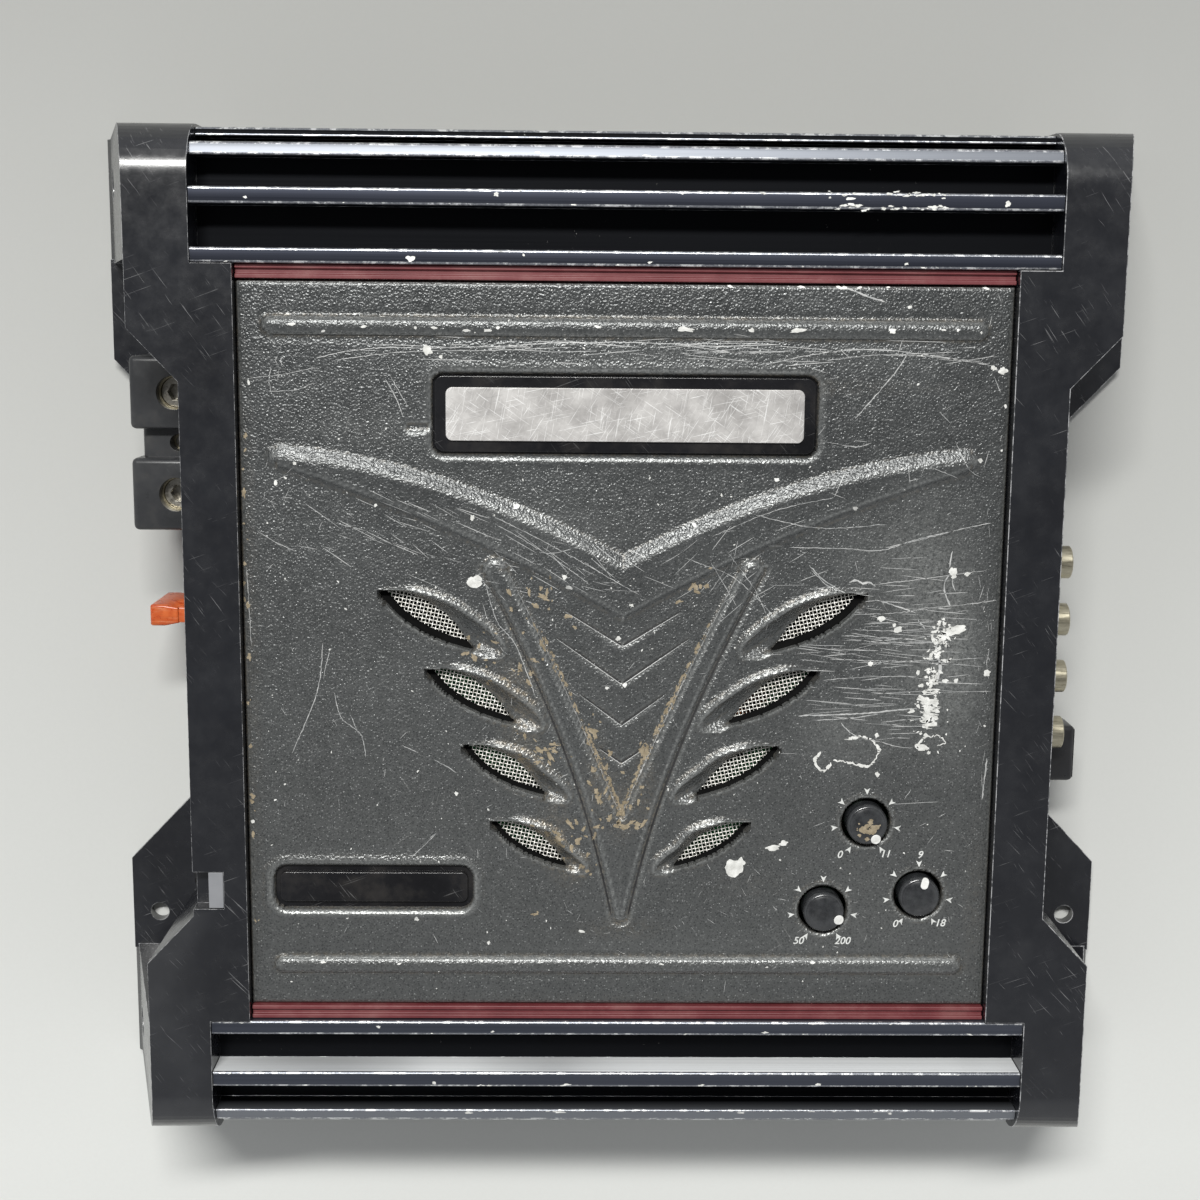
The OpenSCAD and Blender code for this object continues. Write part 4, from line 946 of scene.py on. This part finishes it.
# Each scratch: its width, then x and y of the points it runs through, in mm.
LONG_SCRATCHES = [
    (0.16, 38, 25.5, 50, 25.3, 59, 25, 68, 27.8, 84, 31.5), (0.14, 60, 25.6, 66, 27, 76, 29.7),
    (0.22, 42.5, 21.5, 46, 18, 51, 15), (0.18, 43, 20.5, 46.5, 17, 49.5, 15.5),
    (0.13, 58, 17, 70, 18.6, 83.5, 20.5), (0.26, 58, 13.5, 62.5, 12.2, 67.5, 10.5),
    (0.45, 68, 9, 69, 7.6, 70, 6.5), (0.14, 68, 11.5, 77, 12.3, 86, 13.5),
    (0.5, 52, 17.5, 53.5, 18, 55, 17.2, 56.5, 17.5, 58, 16.6), (0.3, 75.5, 25, 75, 23, 75, 21),
    (0.36, 75.5, 20, 74, 18, 74, 15.5, 75.5, 12), (0.2, 75.5, 19, 75.8, 17, 76.5, 15.5),
    (0.3, 72.5, 11.5, 75.5, 11.5), (0.4, 73, 3.8, 72.4, 2.2, 72.3, 0.6),
    (0.7, 73, 0.5, 73.6, -2, 73.2, -5, 72.4, -6.5), (0.14, 50.5, 5, 62, 4.6, 73, 3.5),
    (0.15, 48, -0.5, 66, -0.9, 83.5, 0), (0.14, 46.5, -5.5, 58, -4.6, 68.5, -4.5),
    (0.34, 41, -14, 55, -13.4, 68.5, -12), (0.2, 44.5, -15, 52, -14.6, 60, -13.5),
    (0.14, 52, 10, 62, 10.4, 71, 11.5), (0.14, 53, 6.5, 62, 6.2, 72, 7),
    (0.16, 60.5, -20, 64, -21.2, 68, -21.5), (0.22, 51, -15.5, 54, -18.4, 60.5, -20.2),
    (0.18, -69.5, 67.5, -63, 69, -54, 70, -43, 70, -28, 70.5, -13, 71.5, 3, 70.5),
    (0.14, -66, 67, -50, 69, -30, 69.6, -12, 70.4), (0.14, -20, 71.2, 0, 71.6, 20, 71),
    (0.15, 13, 70, 26.5, 69.5, 38, 70), (0.18, 31.5, 67, 43.5, 69.5, 56.5, 70.5, 71, 69, 83, 67),
    (0.13, 45, 68, 60, 69.4, 80, 68), (0.22, 64, 70.5, 60, 64.5, 52, 55),
    (0.16, -54, 63, -51.5, 58.5, -50, 54.5), (0.14, -53, 64, -50.5, 59.5, -49, 57),
    (0.16, -76.5, 68, -77.4, 66.8, -76.5, 65.5), (0.16, -78, 68, -78.6, 67, -78, 66),
    (0.16, -79.5, 65.5, -80, 62.5, -79.5, 59.5), (0.12, -84, 63, -76, 64, -69.5, 65.5),
    (0.13, -80, 60, -74, 60.4, -70, 62), (0.4, 49, 84.1, 53, 82.6, 58, 81),
    (0.16, 49, 49, 52.5, 48.6, 56, 49.5), (0.15, -31.5, 16.5, -29, 8, -24.5, 2, -20, -10),
    (0.12, -32.2, 12, -29.6, 4, -26.5, 0), (0.2, -43.5, -25, -41, -26.3, -38.5, -28),
    (0.16, -51, -21.5, -47.5, -23.2), (0.15, -45, -44, -43, -42.5),
    (0.15, -49, -48.5, -46, -45.6, -43, -42.5), (0.14, -30, 32.5, -14, 24.4, 3.5, 14.5),
    (0.13, -29, 30.5, -17, 23.4, -8, 17), (0.18, -19, 24, -15.5, 24, -12, 25),
    (0.18, -69, 2.5, -70.5, -9, -76.5, -23.5), (0.12, -67.5, 1, -69, -6),
    (0.17, -66.5, -9, -65, -15, -60.5, -19, -59.5, -24.5), (0.13, -63, -14, -61, -19),
    (0.2, 68, -31.5, 66.5, -34), (0.14, 30, 33, 45, 30, 60, 31), (0.13, 20, 28, 34, 34, 47, 37),
    (0.13, 14, 23, 26, 18, 36, 8), (0.13, 24, 24, 30, 16, 33, 10), (0.13, 20, 22, 26, 12),
    (0.3, 85.5, -24, 84.8, -34), (0.13, 75, 50, 78, 44, 81, 42), (0.13, 70, 44, 76, 41.6),
    (0.13, -86, 20, -85.4, 2),
]
OUTLINES = [
    (0.6, 52, -19.5, 56.5, -19, 59, -20.4, 60.2, -22.4, 59, -24.8, 57.5, -26, 55, -25.6, 52.5,
     -25, 49.5, -24.5),
    (0.65, 46.6, -22.6, 45.2, -24.4, 46, -26.4, 47.6, -27.2, 49, -25.2),
    (0.5, 71, -18.5, 69.6, -20.2, 68.6, -21.4, 71.5, -21.8),
    (0.35, 71.4, -18.8, 74, -18.6, 75.6, -20.2, 73.6, -21),
]
# Each chip: x, y, size and how much it is stretched along X.
CHIPS = [
    (-34, 17, 1.55, 1), (27, -51, 2, 1.15), (28.4, -49.6, 1.2, 0.8), (36, -45.8, 0.8, 2.2),
    (38.4, -44.8, 0.6, 1.6), (57.5, -1.5, 0.55, 1), (84.5, -3.5, 0.8, 1), (59.5, -18.5, 0.55, 1),
    (60, -28, 0.6, 0.8), (77, 6.5, 1.1, 2.2), (68.5, -3.5, 0.6, 0.7), (71, -3.5, 0.7, 0.8),
    (75, -5.5, 0.75, 1.5), (77.5, -5.5, 0.5, 1), (63.5, 6.5, 0.8, 1.1), (62.6, 7.6, 0.4, 1),
    (59.5, 9, 0.6, 1.3), (75.6, 20.2, 0.85, 1), (79, 19.6, 0.5, 1.3), (73.8, 4.6, 1.5, 1.1),
    (75.2, 5.6, 1, 1.3), (72.4, 3.6, 0.8, 1.2), (74.2, 8, 0.6, 1.2), (76, 19, 0.4, 1.5),
    (70.2, -8.2, 0.9, 0.8), (70.6, -10.2, 1.25, 0.9), (70.9, -12.4, 1.35, 0.9),
    (71.2, -14.6, 1.2, 0.9), (71.1, -16.6, 0.7, 0.7), (72.9, -10.8, 0.9, 1.5),
    (73, -12.6, 0.8, 1.6), (72.9, -14.3, 0.8, 1.5), (73, -15.8, 0.5, 1.6), (69.4, -6.6, 0.7, 1.5),
    (71, -18.4, 0.5, 1), (70.4, -21.4, 0.8, 1.6), (71.8, -22.6, 0.4, 1), (-74.5, 75, 0.55, 2.4),
    (-67.5, 73.5, 0.35, 2), (-58.5, 74.6, 0.5, 2.2), (-47, 74.4, 0.5, 1.2),
    (-42.8, 74.4, 0.45, 2.4), (-35.6, 73.9, 0.4, 3.4), (-31, 74, 0.5, 3), (-28.6, 74.6, 0.5, 1.6),
    (-6.5, 75, 0.45, 2.8), (13, 74.6, 0.8, 4), (28, 74.6, 0.75, 1.4), (38.5, 74.6, 0.8, 3.4),
    (59.5, 74.6, 0.95, 1.5), (71, 75, 0.4, 2.2), (74.2, 75, 0.6, 1), (79.5, 74.5, 0.5, 1),
    (-44.5, 69.5, 1.05, 1.1), (-41.5, 68, 0.4, 1.2), (23, 84.2, 0.4, 2.6), (39, 84.2, 0.35, 3.6),
    (48, 84.2, 0.7, 2.6), (52, 84.2, 0.4, 2), (58.5, 84.3, 0.3, 2.4), (80.5, 84.2, 0.4, 3),
    (63.5, 80, 0.6, 1.3), (83, 66.5, 0.55, 1.2), (85, 66, 0.85, 1.1), (86, 58, 0.5, 0.6),
    (85.6, 48, 0.3, 0.8), (-24.5, 34.5, 0.7, 1.1), (-34.5, 32, 0.65, 0.7), (-56.5, 34.5, 0.35, 1),
    (-79, 39.5, 0.6, 0.6), (-74.5, 44, 0.35, 1), (-38.5, -33, 0.5, 0.9), (-31, -69.5, 0.4, 1),
    (-48, -63.6, 0.5, 1.2), (-84.6, 62, 0.5, 0.6), (-86, -40, 0.4, 1), (-9, -66.6, 0.3, 2.4),
    (46, -73.8, 0.4, 3), (-70, -74, 0.4, 2.6), (-52, -74.3, 0.4, 2), (10, -74.2, 0.35, 2.6),
    (34.6, 41, 0.4, 1.6), (80.8, 45.6, 0.5, 1.2), (52.6, 34.6, 0.5, 1.2), (16, 30.6, 0.5, 0.8),
    (2, 12, 0.4, 1), (-1, 4, 0.6, 1), (0.6, -6.9, 0.5, 1), (-3.5, -7.6, 0.35, 1.2),
    (-13.5, 18.4, 0.5, 1), (-12.4, 16, 0.5, 1.6),
]


# Seeds of the marks' own random draws. Each mark in a group adds its number to the group's seed.
UNEVEN, HAIR, OUTLINE, CHIP, SHARD, SPLASH, DOT = 500, 1000, 60, 900, 80, 1500, 1200
CRUMB, SEAM, FIN_CHIP, KNOB_DIRT = 3000, 4000, 5000, 40


def build_marks():
    """Scratches, chips, strips of painted crease shade and painted highlight, and dirt that lie on
    the panel as thin pieces.
    """
    light, heavy, dark, tan = [], [], [], []
    for i, (width, *points) in enumerate(LONG_SCRATCHES):
        line = path_of(points, i)
        uneven = np.random.default_rng(UNEVEN + i).uniform(0.45, 1.25, len(line))
        light.append(drape(line, width * uneven))
    rng = random.Random(5)
    fields = [(110, 62, 11, -2, 9, -2, 5, 3, 12), (46, 60, 12, 10, 5, 4, 8, 2, 8),
              (40, -50, 12, 30, 4, -26, 10, 3, 10), (36, -12, 14, 21, 5, -28, 12, 2, 9),
              (30, 22, 10, 20, 8, 38, 14, 2, 8), (40, -76, 4, 40, 22, 60, 40, 0.8, 3),
              (50, 10, 50, 70.5, 1.6, 0, 4, 3, 16), (34, 50, 20, 55, 10, 40, 50, 1.5, 5),
              (60, 0, 50, -30, 34, -40, 60, 0.8, 3), (40, 30, 24, -64, 8, 20, 70, 0.8, 2.5),
              (30, 84, 1.4, 30, 30, 90, 14, 1, 4), (40, -18, 10, -10, 20, 60, 40, 0.8, 3)]
    count = 0
    for number, cx, sx, cy, sy, turn, spread, short, long in fields:
        for _ in range(number):
            count += 1
            x, y = rng.gauss(cx, sx), rng.gauss(cy, sy)
            t = math.radians(rng.gauss(turn, spread))
            r = rng.uniform(short, long) / 2
            a = (x - r * math.cos(t), y - r * math.sin(t))
            b = (x + r * math.cos(t), y + r * math.sin(t))
            if max(abs(a[0]), abs(b[0])) > 86 or max(abs(a[1]), abs(b[1])) > 83.5:
                continue
            light.append(drape(wander(a, b, rng.uniform(-0.03, 0.03), HAIR + count, 0.02),
                               rng.uniform(0.06, 0.15)))
    for i, (width, *points) in enumerate(OUTLINES):
        line = path_of(points, 70 + i, 0.3, 0.35)
        uneven = np.random.default_rng(OUTLINE + i).uniform(0.3, 1.3, len(line))
        heavy.append(drape(line, width * uneven))
    for i, (x, y, size, stretch) in enumerate(CHIPS):
        if 69 < x < 76.5 and -18 < y < 9 or abs(y) > 70:
            size *= SMALLER
        heavy.append(blob((x, y), size, CHIP + i, stretch, 0.12 * (i % 5) - 0.24, 0.03, 0.42))
    for i in range(46):
        y = rng.uniform(-17, -7)
        x = 70.6 + rng.uniform(-1.3, 0.4)
        heavy.append(drape(wander((x, y), (x + rng.uniform(1, 3.6), y + rng.uniform(-0.6, 0.6)), 0,
                                  SHARD + i, 0.1, 0.3), rng.uniform(0.12, 0.42),
                           0.03 + 0.002 * i))
    for i in range(150):
        cx, cy, sx, sy = ((71, -12, 1.6, 4), (74, 4.5, 1.6, 2.2), (72.8, -3, 0.9, 4))[i % 3]
        heavy.append(blob((rng.gauss(cx, sx), rng.gauss(cy, sy)), rng.uniform(0.1, 0.38),
                          SPLASH + i, rng.uniform(0.8, 2.4), rng.gauss(0, 0.6), ragged=0.6))
    for i in range(160):
        x, y = rng.uniform(-85, 85), rng.uniform(-83, 83)
        heavy.append(blob((x, y), rng.uniform(0.08, 0.2), DOT + i, rng.uniform(0.8, 2.2),
                          rng.uniform(0, 3)))
    grime = [
        (-23, -3, 7, 3, 18, -26), (-19, -23.5, 4, 2.2, 26, -30), (-14.5, -43, 3.6, 2, 26, -30),
        (-34, 3, 5, 1.6, 10, -28), (-1, -33, 2.6, 5, 20, 80), (-6, -26, 1.4, 8, 18, -70),
        (5, -27, 1.2, 8, 10, 70), (-10, -46, 2.4, 3, 12, 60), (-22, 12, 3, 5, 10, -50),
        (18, 17, 3, 2, 8, 40), (-17, 14, 5, 3, 8, -50), (-86, -10, 0.5, 40, 22, 90),
        (-20, -61.5, 1, 1, 2, 0), (0, -40, 3, 1, 8, 0)]
    count = 0
    for cx, cy, sx, sy, number, turn in grime:
        for _ in range(number):
            count += 1
            x, y = cx + rng.gauss(0, sx) * 0.9, cy + rng.gauss(0, sy) * 0.9
            tan.append(blob((x, y), rng.uniform(0.12, 0.55), CRUMB + count, rng.uniform(0.8, 2.6),
                            math.radians(turn) + rng.gauss(0, 0.5), 0.015, 0.7))
    for i in range(230):
        side = rng.choice((-1, 1))
        y = -37.5 + 46 * rng.random() ** 1.7
        x = side * (bone_inner(y) - rng.uniform(-0.1, 0.9))
        lean = math.atan2(1.0, side * 0.45) + rng.gauss(0, 0.2)
        tan.append(blob((x, y), rng.uniform(0.1, 0.34), SEAM + i, rng.uniform(1.0, 3.4), lean,
                        ragged=0.7))
    # Each V line: a dark strip of painted shade in its groove, and a pale strip of painted
    # highlight on the step just below it.
    for (px, py), (qx, qy) in V_LINES:
        for side in (-1, 1):
            line = curve_through([(side * px, py), (side * qx, qy)], 24, closed=False)
            dark.append(drape(line, np.linspace(0.15, 0.5, len(line)), 0.05))
            light.append(drape(line + (0, -0.38), np.linspace(0.05, 0.16, len(line)), 0.05))
    # The wishbone: a dark strip of painted shade along its outer crevice, and pale strips along its
    # inner edges, partly rubbed wear and partly painted highlight.
    for side in (-1, 1):
        y = np.linspace(POINT_Y, 18.5, 130)
        dark.append(drape(np.column_stack([side * (bone_outer(y) + 0.42), y]),
                          np.interp(y, [POINT_Y, -20, 8, 18.5], [0.45, 0.5, 0.4, 0.2]), 0.07))
        y = np.linspace(-37.8, 19, 120)
        rub_and_highlight = np.random.default_rng(11 + side).uniform(0.0, 0.36, 120)
        rub_and_highlight = rub_and_highlight * np.interp(y, [-37, 0, 19], [1.3, 0.9, 0.6])
        light.append(drape(np.column_stack([side * (bone_inner(y) + 0.1), y]), rub_and_highlight, 0.05))
    # Pale marks: scratches and painted highlights. Dark marks: painted crease shade.
    for name, parts, finish in (("panel_scratches_and_highlights", light, scuff_and_highlight), ("panel_chips", heavy, bare),
                                ("panel_crease_shade", dark, shade_line),
                                ("panel_grime", tan, tan_dirt)):
        verts, faces = join_parts(parts)
        pts = np.array(verts)
        clear = openings_distance(pts[:, 0], pts[:, 1])
        rim = np.maximum(np.abs(pts[:, 0]) - PANEL_X, np.abs(pts[:, 1]) - PANEL_Y)
        faces = [f for f in faces
                 if min(clear[i] for i in f) > 0.1 and max(rim[i] for i in f) < -0.15]
        add_piece(name, verts, faces, [finish], slot="panel_paint", sharp=None)


build_marks()

FIN_CHIPS = [
    (-29, 103.6, 0.7, 1.3), (-48, 89.6, 1, 1.6), (-23, 90.6, 0.45, 1), (84, 102.6, 0.9, 1.1),
    (12, 104.2, 0.4, 2), (30, 104.4, 0.4, 2.4), (-70, 104.3, 0.35, 2), (5, 89.2, 0.35, 2.4),
    (62, 89.4, 0.4, 2), (-12.5, -104.2, 0.45, 4), (-44, -103.8, 0.5, 1.4), (-57, -89.6, 0.5, 1.5),
    (20, -104.3, 0.4, 3), (48, -104, 0.5, 2), (-30, -90.8, 0.35, 2), (35, -90.9, 0.35, 3.4),
    (-36, -112.6, 0.45, 3.4), (-14, -112.4, 0.45, 4.6), (30, -112.5, 0.4, 3),
    (66, -112.6, 0.4, 2.4), (-84, 102.4, 0.4, 1.4), (-60, 112.6, 0.35, 3), (4, 112.4, 0.3, 4),
    (-20, 112.8, 0.3, 3),
]


def build_fin_chips():
    """Bare spots and nicks on the tops of the fins and rails."""
    rng = random.Random(17)
    spots = list(FIN_CHIPS)
    for _ in range(40):
        spots.append((rng.uniform(44, 70), rng.choice((101.6, 104.3)) + rng.gauss(0, 0.35),
                      rng.uniform(0.15, 0.5), rng.uniform(1, 4)))
    for _ in range(90):
        y = rng.choice((88.6, 91.3, 101.5, 104.4, -88.7, -91.3, -101.5, -104.4, -112.1, 112.1))
        spots.append((rng.uniform(-93, 93), y, rng.uniform(0.08, 0.24), rng.uniform(1, 5)))
    parts = []
    for i, (x, y, size, stretch) in enumerate(spots):
        outermost = abs(y) > 110
        flat, faces = blob((0, 0), size * SMALLER, FIN_CHIP + i, stretch, rng.gauss(0, 0.15), 0,
                           0.6)
        flat = np.array(flat)[:, :2] + (x, y)
        slope = 0.276 * np.maximum(np.abs(flat[:, 1]) - 111.7, 0)
        tops = 54.0 - slope if outermost else np.full(len(flat), 56.3)
        parts.append((np.column_stack([flat, tops + 0.03]).tolist(), faces))
    add_piece("fin_chips", *join_parts(parts), [bare], slot="anodised_fins", sharp=None)


build_fin_chips()


PRINT_LIFT = 0.03


def numeral(text, at, height=1.75):
    """A small slanted numeral as a flat mesh on the panel."""
    curve = bpy.data.curves.new("numeral", "FONT")
    curve.body = text
    curve.size = height * 1.42
    curve.shear = 0.25
    curve.align_x = curve.align_y = "CENTER"
    curve.offset = 0.035
    holder = bpy.data.objects.new("numeral", curve)
    data = bpy.data.meshes.new_from_object(holder)
    verts = [(v.co.x + at[0], v.co.y + at[1]) for v in data.vertices]
    faces = [tuple(p.vertices) for p in data.polygons]
    bpy.data.objects.remove(holder)
    bpy.data.curves.remove(curve)
    bpy.data.meshes.remove(data)
    return on_panel(verts, PRINT_LIFT), faces


def pointing(angle):
    """The direction at an angle in degrees, and the one a quarter turn to its left."""
    a = math.radians(angle)
    return np.array([math.cos(a), math.sin(a)]), np.array([-math.sin(a), math.cos(a)])


def build_print():
    """Seven small arrowheads round each knob and the numerals of the dials."""
    arrows, numerals = [], []
    for mid in KNOBS.values():
        for k in range(7):
            out, side = pointing(-60 + 50 * k)
            tip, base = mid + out * 6.75, mid + out * 8.35
            shape = [tip, base + side * 0.72, base - out * 0.45, base - side * 0.72]
            arrows.append((on_panel(shape, PRINT_LIFT), [(0, 1, 2, 3)]))
    add_piece("dial_arrows", *join_parts(arrows), [print_white], sharp=None)
    gain, cross, boost = KNOBS["gain"], KNOBS["crossover"], KNOBS["boost"]
    for text, mid, dx, dy in (("0", gain, -6.0, -7.9), ("11", gain, 4.8, -7.7),
                              ("50", cross, -5.6, -7.8), ("200", cross, 4.9, -7.8),
                              ("9", boost, 0.1, 9.7), ("0", boost, -5.2, -7.3),
                              ("18", boost, 5.5, -7.1)):
        numerals.append(numeral(text, (mid[0] + dx, mid[1] + dy)))
    add_piece("dial_numerals", *join_parts(numerals), [print_white], sharp=None)


build_print()


# ---------------------------------------------------------------- knobs


def build_knob(name, angle, bar):
    """A domed cap with a raised white dot or bar that points at an angle."""
    mid = np.array(KNOBS[name])
    low, high = limits(name + "_knob")
    top = high[2]
    r = (high[0] - low[0]) / 2
    shaft_r = 3.02
    profile = [(shaft_r, low[2]), (r - 0.5, low[2]), (r - 0.05, low[2] + 0.4), (r, low[2] + 3.0),
               (r, top - 1.5), (r - 0.08, top - 1.0), (r - 0.3, top - 0.62), (r - 0.62, top - 0.4),
               (r - 0.75, top - 0.42), (r - 0.85, top - 0.36), (r * 0.6, top - 0.13),
               (r * 0.3, top - 0.04), (0.05, top)]
    add_piece(f"{name}_knob_cap", *lathe(profile, mid, 72), [knob_black], name + "_knob",
              sharp=60)
    out, side = pointing(angle)

    def over(p):
        """A height just above the cap at a point given from its middle."""
        d = min(math.hypot(*p), r)
        if d < r * 0.6:
            h = top - 0.13 * (d / (r * 0.6)) ** 2
        elif d < r - 0.62:
            h = top - 0.13 - 0.27 * (d - r * 0.6) / (r - 0.62 - r * 0.6)
        else:
            h = top - 0.4 - 0.65 * ((d - r + 0.62) / 0.62) ** 2
        return h + 0.06

    start, end, wide = (2.3, 4.95, 0.9) if bar else (2.75, 5.15, 1.2)
    middle = (start + end) / 2
    ring = []
    for k in range(32):
        t = 2 * math.pi * k / 32
        along = math.copysign((end - start) / 2 - wide, math.cos(t)) + wide * math.cos(t)
        ring.append(out * (middle + along) + side * wide * math.sin(t))
    verts = []
    shares = (1.0, 0.93, 0.84, 0.74, 0.62, 0.48, 0.3, 0.0)
    reach = r + 0.25
    for share in shares:
        for p in ring:
            q = out * middle + (p - out * middle) * share
            d = math.hypot(*q)
            if d > reach:
                q = q * reach / d
            height = over(q) + 0.02
            if share < 1.0:
                height = max(height, top - 0.42) + 0.10
            verts.append((*(mid + q), min(height, top + 0.12)))
    add_piece(f"{name}_pointer", verts, ring_faces(len(shares), len(ring)), [pointer_white],
              body=f"{name}_control", slot="knob_black", sharp=None)
    if name == "gain":
        parts = []
        for i in range(46):
            rng = random.Random(KNOB_DIRT + i)
            at = np.array((rng.gauss(0.1, 1.3), rng.gauss(-1.1, 0.9)))
            size = rng.uniform(0.15, 0.75)
            ring = [at + size * rng.uniform(0.6, 1.2) * np.array((math.cos(t), math.sin(t)))
                    for t in np.arange(10) * 2 * math.pi / 10]
            parts.append(([(*(mid + q), over(q) + 0.004 * (i % 12)) for q in [at] + ring],
                          fan(len(ring))))
        add_piece("gain_knob_dirt", *join_parts(parts), [tan_dirt], body="gain_control",
                  slot="knob_black", sharp=None)


for knob, angle, bar in (("gain", -59, False), ("crossover", -26, False), ("boost", 73, True)):
    build_knob(knob, angle, bar)


# ---------------------------------------------------------------- case


for node, name, finishes, width, options in (
        ("heatsink", "heatsink_extrusion", (fins, fin_edge), 0.15,
         {"edit": round_outside(0.55, 100.0, 1)}),
        ("end_cap_left", "left_cap_moulding", (cap, cap_edge), 0.35, {}),
        ("end_cap_right", "right_cap_moulding", (cap, cap_edge), 0.35, {}),
        ("bottom_cover", "bottom_cover_sheet", (cover, cover), 0.2, {}),
        ("cap_latch", "latch_tab", (latch, latch), 0.25, {}),
        ("trim_strip_upper", "red_strip_upper", (red, red), 0.25, {}),
        ("trim_strip_lower", "red_strip_lower", (red, red), 0.25, {}),
        ("badge_plate", "badge_base", (badge_black, badge_black), 0.3, {}),
        ("badge_inlay", "badge_face", (silver, silver), 0.15, {}),
        ("name_plate", "name_plate_base", (badge_black, badge_black), 0.25, {}),
        ("power_terminal_housing", "power_housing_moulding", (terminal, terminal), 0.15,
         {"edit": round_outside(1.3, 6.0)}),
        ("speaker_terminal_housing", "speaker_housing_moulding", (terminal, terminal_edge), 0.35,
         {}),
        ("rca_housing", "jack_housing_moulding", (jack_black, jack_black), 0.3, {}),
        ("remote_jack", "socket_moulding", (jack_black, jack_black), 0.2,
         {"edit": round_outside(1.2, 6.0)}),
        ("rca_barrels", "phono_collars", (barrel, barrel), 0.35, {"segments": 3}),
        ("fuse_body", "fuse_moulding", (orange, orange), 0.15, {"edit": round_outside(0.6, 3.0)})):
    refined(node, name, finishes, width, **options)
for which in ("ground", "positive", "remote"):
    refined(f"{which}_set_screw", f"{which}_screw_turned", (nickel, nickel), 0.12)
for count in range(1, 5):
    refined(f"speaker_screw_{count}", f"speaker_screw_{count}_turned", (nickel, nickel), 0.1)


# ---------------------------------------------------------------- floor, light, camera


def build_floor():
    """A large sheet of pale paper with painted shade that darkens it away from the camera's side.
    """
    g = Graph("floor_paper")
    cloud = g.noise(0.004, 3, 0.5)
    grain = g.noise(1.2, 3, 0.6)
    color = g.mix(g.span(cloud, 0.3, 0.7), (0.70, 0.71, 0.69), (0.74, 0.75, 0.73))
    color = g.mix(g.span(grain, 0.3, 0.7, 0, 0.08), color, (0.56, 0.56, 0.55))
    # Painted shade: the paper darkens towards +Y, standing in for less light there.
    color = g.mix(g.span(g.separate(g.place())[1], -150, 170, 0.0, 0.8), color, (0.25, 0.25, 0.24))
    g.set(base_color=color, roughness=g.span(grain, 0, 1, 0.7, 0.8),
          normal=g.bump(grain, 0.1, 0.05))
    data = bpy.data.meshes.new("floor")
    reach, below = 3.0, -0.0004
    data.from_pydata([(x * reach, y * reach, below) for x, y in
                      ((-1, -1), (1, -1), (1, 1), (-1, 1))], [], [(0, 1, 2, 3)])
    data.materials.append(g.material)
    floor = bpy.data.objects.new("floor", data)
    bpy.context.scene.collection.objects.link(floor)


def add_light(name, place, aim, size, power, tint):
    lamp = bpy.data.lights.new(name, "AREA")
    lamp.shape = "RECTANGLE"
    lamp.size, lamp.size_y = size
    lamp.energy = power
    lamp.color = tint
    obj = bpy.data.objects.new(name, lamp)
    obj.location = place
    direction = Vector(aim) - Vector(place)
    obj.rotation_mode = "QUATERNION"
    obj.rotation_quaternion = direction.to_track_quat("-Z", "Y")
    bpy.context.scene.collection.objects.link(obj)


def build_world():
    """A pale studio all round that is darker overhead."""
    world = bpy.data.worlds.new("studio")
    world.use_nodes = True
    tree = world.node_tree
    back = tree.nodes["Background"]
    where = tree.nodes.new("ShaderNodeTexCoord")
    upward = tree.nodes.new("ShaderNodeVectorMath")
    upward.operation = "DOT_PRODUCT"
    upward.inputs[1].default_value = (0.04, 0.16, 0.986)
    tree.links.new(where.outputs["Generated"], upward.inputs[0])
    overhead = tree.nodes.new("ShaderNodeMapRange")
    overhead.interpolation_type = "SMOOTHSTEP"
    tree.links.new(upward.outputs["Value"], overhead.inputs[0])
    for i, value in enumerate((0.62, 0.93, 0.52, 0.15)):
        overhead.inputs[i + 1].default_value = value
    tree.links.new(overhead.outputs[0], back.inputs[1])
    back.inputs[0].default_value = (0.97, 0.985, 1.0, 1)
    return world


build_floor()
add_light("key", (-0.16, 0.90, 1.42), (0, 0.02, 0.05), (0.75, 0.14), 30, (1, 0.995, 0.97))
world = build_world()
scene = bpy.context.scene
scene.world = world
scene.view_settings.view_transform = "Standard"

camera_data = bpy.data.cameras.new("camera")
camera_data.sensor_width = 36
camera_data.lens = 53.04
camera_data.clip_start = 0.01
camera = bpy.data.objects.new("camera", camera_data)
camera.matrix_world = (Matrix.Translation(Vector((-12.2245, 80.1116, 454.2229)) * MM)
                       @ Matrix.Rotation(-0.1661, 4, "X") @ Matrix.Rotation(-0.0170, 4, "Y")
                       @ Matrix.Rotation(0.0064, 4, "Z"))
scene.collection.objects.link(camera)
scene.camera = camera
